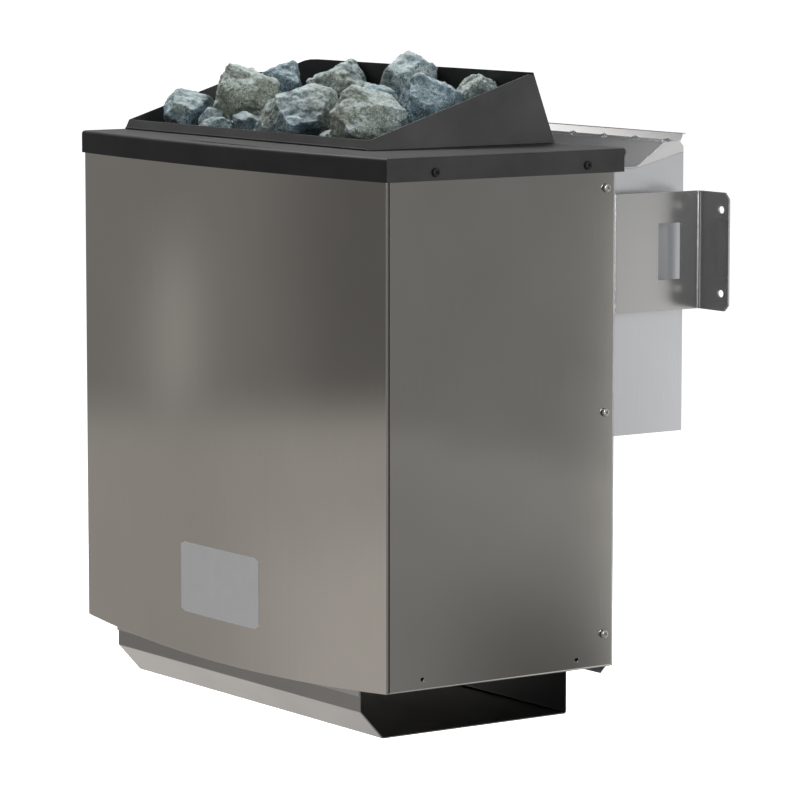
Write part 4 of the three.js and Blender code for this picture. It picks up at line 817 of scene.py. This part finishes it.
for name, finish, slot, groups in (
        ("zinc_screws", zinc_plate("zinc plate of the screws"), "zinc_screw", (("side", 3), ("bracket", 2))),
        ("black_screws", black_coat("black coat of the screws", 0.012), "black_coat", (("cap", 2),))):
    nodes = [f"{group}_screw_{hand}_{n + 1}"
             for group, number in groups for hand in ("left", "right") for n in range(number)]
    seats, headings = [], []
    for node in nodes:
        low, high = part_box(node)
        centre = (low + high) / 2
        if node.startswith("bracket"):
            heading = Vector((0, 1, 0))
            seats.append(Vector((centre.x, high.y - head_height, centre.z)))
        else:
            side = 1 if centre.x > 0 else -1
            heading = Vector((side, 0, 0))
            outer = high.x if side > 0 else low.x
            seats.append(Vector((outer - side * head_height, centre.y, centre.z)))
        headings.append(heading)
    maker = dots_at(name + " places", seats)
    facing = maker.data.attributes.new("facing", "FLOAT_VECTOR", "POINT")
    facing.data.foreach_set("vector", [part for heading in headings for part in heading])
    fitted(grown(maker, screw_tree, name, Screw=pattern, Finish=finish), "heater", slot, *nodes)
bpy.data.objects.remove(pattern)


# Studio: a white floor a little below the hung heater, soft light from above and from the right, six large
# panels that only reflections show, and the camera at the photograph's angle.
floor_drop, floor_reach = -0.12, 90.0
floor_mesh = bpy.data.meshes.new("studio_floor")
floor_corners = [(x * floor_reach, y * floor_reach, floor_drop)
                 for x, y in ((-1, -1), (1, -1), (1, 1), (-1, 1))]
floor_mesh.from_pydata(floor_corners, [], [(0, 1, 2, 3)])
floor = bpy.data.objects.new("studio_floor", floor_mesh)
floor.visible_glossy = False
floor.visible_diffuse = False
bpy.context.scene.collection.objects.link(floor)
floor_white = bpy.data.materials.new("studio floor")
floor_white.use_nodes = True
floor_inputs = floor_white.node_tree.nodes["Principled BSDF"].inputs
floor_inputs["Base Color"].default_value = (0.82, 0.82, 0.82, 1)
floor_inputs["Roughness"].default_value = 0.9
floor_inputs["Emission Color"].default_value = (1, 1, 1, 1)
floor_inputs["Emission Strength"].default_value = 0.75
floor_mesh.materials.append(floor_white)

world = bpy.data.worlds.new("studio air")
world.use_nodes = True
world.node_tree.nodes["Background"].inputs["Color"].default_value = (0.97, 0.98, 1.0, 1)
world.node_tree.nodes["Background"].inputs["Strength"].default_value = 0.42
bpy.context.scene.world = world
bpy.context.scene.view_settings.view_transform = "Standard"


def soft_light(name, place, target, width, height, power):
    lamp = bpy.data.lights.new(name, "AREA")
    lamp.shape = "RECTANGLE"
    lamp.size = width
    lamp.size_y = height
    lamp.energy = power
    light = bpy.data.objects.new(name, lamp)
    light.location = place
    light.rotation_euler = (Vector(target) - Vector(place)).to_track_quat("-Z", "Y").to_euler()
    bpy.context.scene.collection.objects.link(light)


soft_light("overhead softbox", place=(-0.9, -0.15, 1.9), target=(-0.05, -0.22, 0.55),
           width=1.0, height=0.7, power=42)
soft_light("right fill", place=(2.7, -0.1, 1.1), target=(0, -0.2, 0.4),
           width=1.0, height=1.4, power=58)


def ramp(value, start, end):
    share = min(1.0, max(0.0, (value - start) / (end - start)))
    return share * share * (3 - 2 * share)


def mirror_panel(name, angle, distance, centre, width, low_z, high_z, glow):
    a = math.radians(angle)
    ahead, along = Vector((math.sin(a), -math.cos(a), 0)), Vector((math.cos(a), math.sin(a), 0))
    foot = Vector(centre) + ahead * distance
    steps = 120
    corners, tones, faces = [], [], []
    for row in range(steps + 1):
        z = low_z + (high_z - low_z) * row / steps
        for column in range(steps + 1):
            u = width * (column / steps - 0.5)
            corners.append((foot.x + along.x * u, foot.y + along.y * u, z))
            tones.append(glow(u, z))
    for row in range(steps):
        for column in range(steps):
            first = row * (steps + 1) + column
            faces.append((first, first + 1, first + steps + 2, first + steps + 1))
    mesh = bpy.data.meshes.new(name)
    mesh.from_pydata(corners, [], faces)
    colours = mesh.attributes.new("glow", "FLOAT_COLOR", "POINT")
    colours.data.foreach_set("color", [part for tone in tones for part in (*tone, 1)])
    made = bpy.data.materials.new(name)
    made.use_nodes = True
    tree = made.node_tree
    tree.nodes.clear()
    tone = node_in(tree, "ShaderNodeAttribute", attribute_name="glow").outputs["Color"]
    light = node_in(tree, "ShaderNodeEmission", {"Color": tone, "Strength": 1.0}).outputs[0]
    node_in(tree, "ShaderNodeOutputMaterial", {0: light})
    mesh.materials.append(made)
    panel = bpy.data.objects.new(name, mesh)
    bpy.context.scene.collection.objects.link(panel)
    for ray in ("camera", "diffuse", "transmission", "volume_scatter", "shadow"):
        setattr(panel, "visible_" + ray, False)


# Shown by the front panel: dim above and brighter below a soft edge at half height, with a pale spot left of
# the middle. Higher up it is dark, with one lit patch for the herb tray's rim, and its foot is bright for the
# air tray's slope.
def left_glow(u, z):
    upper = 0.262 - 0.105 * ramp(u, -0.02, 0.40)
    lower = 0.415 + 0.05 * ramp(u, -0.2, 0.3) + 0.12 * ramp(u, -0.1, 0.4) * (1 - ramp(z, -0.12, 0.04))
    tone = upper + (lower - upper) * (1 - ramp(z, 0.07, 0.155))
    tone += 0.17 * math.exp(-((u + 0.17) / 0.10) ** 2) * ramp(z, 0.09, 0.17) * (1 - ramp(z, 0.22, 0.42))
    above = 0.08 + 1.3 * math.exp(-((u + 0.48) / 0.4) ** 2 - ((z - 1.28) / 0.22) ** 2)
    tone += (above - tone) * ramp(z, 0.75, 1.0)
    tone += (0.94 - tone) * (1 - ramp(z, -0.7, -0.35)) * (1 - ramp(u, -0.7, -0.3))
    warm = 1 - ramp(z, 0.06, 0.14)
    return tone * (1.0 + 0.01 * warm), tone * (0.975 - 0.015 * warm), tone * (0.94 - 0.03 * warm)


# Shown by the side panel: a slanting edge at half height, lighter below it, and a bright end for the tank.
def right_glow(u, z):
    edge = 0.0935 - 0.195 * u
    below = 0.345 - 0.03 * ramp(edge - z, 0.0, 0.1)
    below -= (0.03 + 0.17 * ramp(u, -0.1, 0.1)) * ramp(edge - z, 0.08, 0.28)
    tone = below + (0.255 - below) * ramp(z, edge - 0.006, edge + 0.006)
    tone += (1.1 - 0.5 * ramp(z, 0.33, 0.42) - tone) * ramp(u, 0.155, 0.22)
    return tone, tone * 0.992, tone * 0.972


def even_glow(tone):
    return lambda u, z: (tone, tone, tone)


mirror_panel("left mirror panel", angle=-55.4, distance=1.3, centre=(0, -0.36, 0),
             width=3.2, low_z=-1.5, high_z=2.1, glow=left_glow)
mirror_panel("front strip panel", angle=6.0, distance=1.6, centre=(0, -0.36, 0),
             width=0.8, low_z=-1.0, high_z=2.0, glow=even_glow(1.2))
mirror_panel("camera-side panel", angle=55.4, distance=1.6, centre=(0, -0.2, 0),
             width=1.1, low_z=-1.0, high_z=2.0, glow=even_glow(0.05))
mirror_panel("right mirror panel", angle=124.6, distance=1.3, centre=(0.26, -0.23, 0),
             width=1.5, low_z=-1.4, high_z=1.6, glow=right_glow)
mirror_panel("dark flag over the tank", angle=-105.0, distance=1.0, centre=(0, -0.05, 0),
             width=1.1, low_z=0.85, high_z=1.9, glow=even_glow(0.04))
mirror_panel("rear mirror panel", angle=235.4, distance=2.0, centre=(0, -0.2, 0),
             width=3.0, low_z=0.3, high_z=1.6, glow=even_glow(0.75))

camera = bpy.data.cameras.new("photo camera")
camera.sensor_fit = "HORIZONTAL"
camera.sensor_width = 36
camera.lens = 196.45
camera.clip_end = 400
viewer = bpy.data.objects.new("photo camera", camera)
viewer.location = (3.3499, -2.4844, 0.7691)
viewer.rotation_euler = Vector((-0.8169, 0.5642, -0.1201)).to_track_quat("-Z", "Y").to_euler()
bpy.context.scene.collection.objects.link(viewer)
bpy.context.scene.camera = viewer
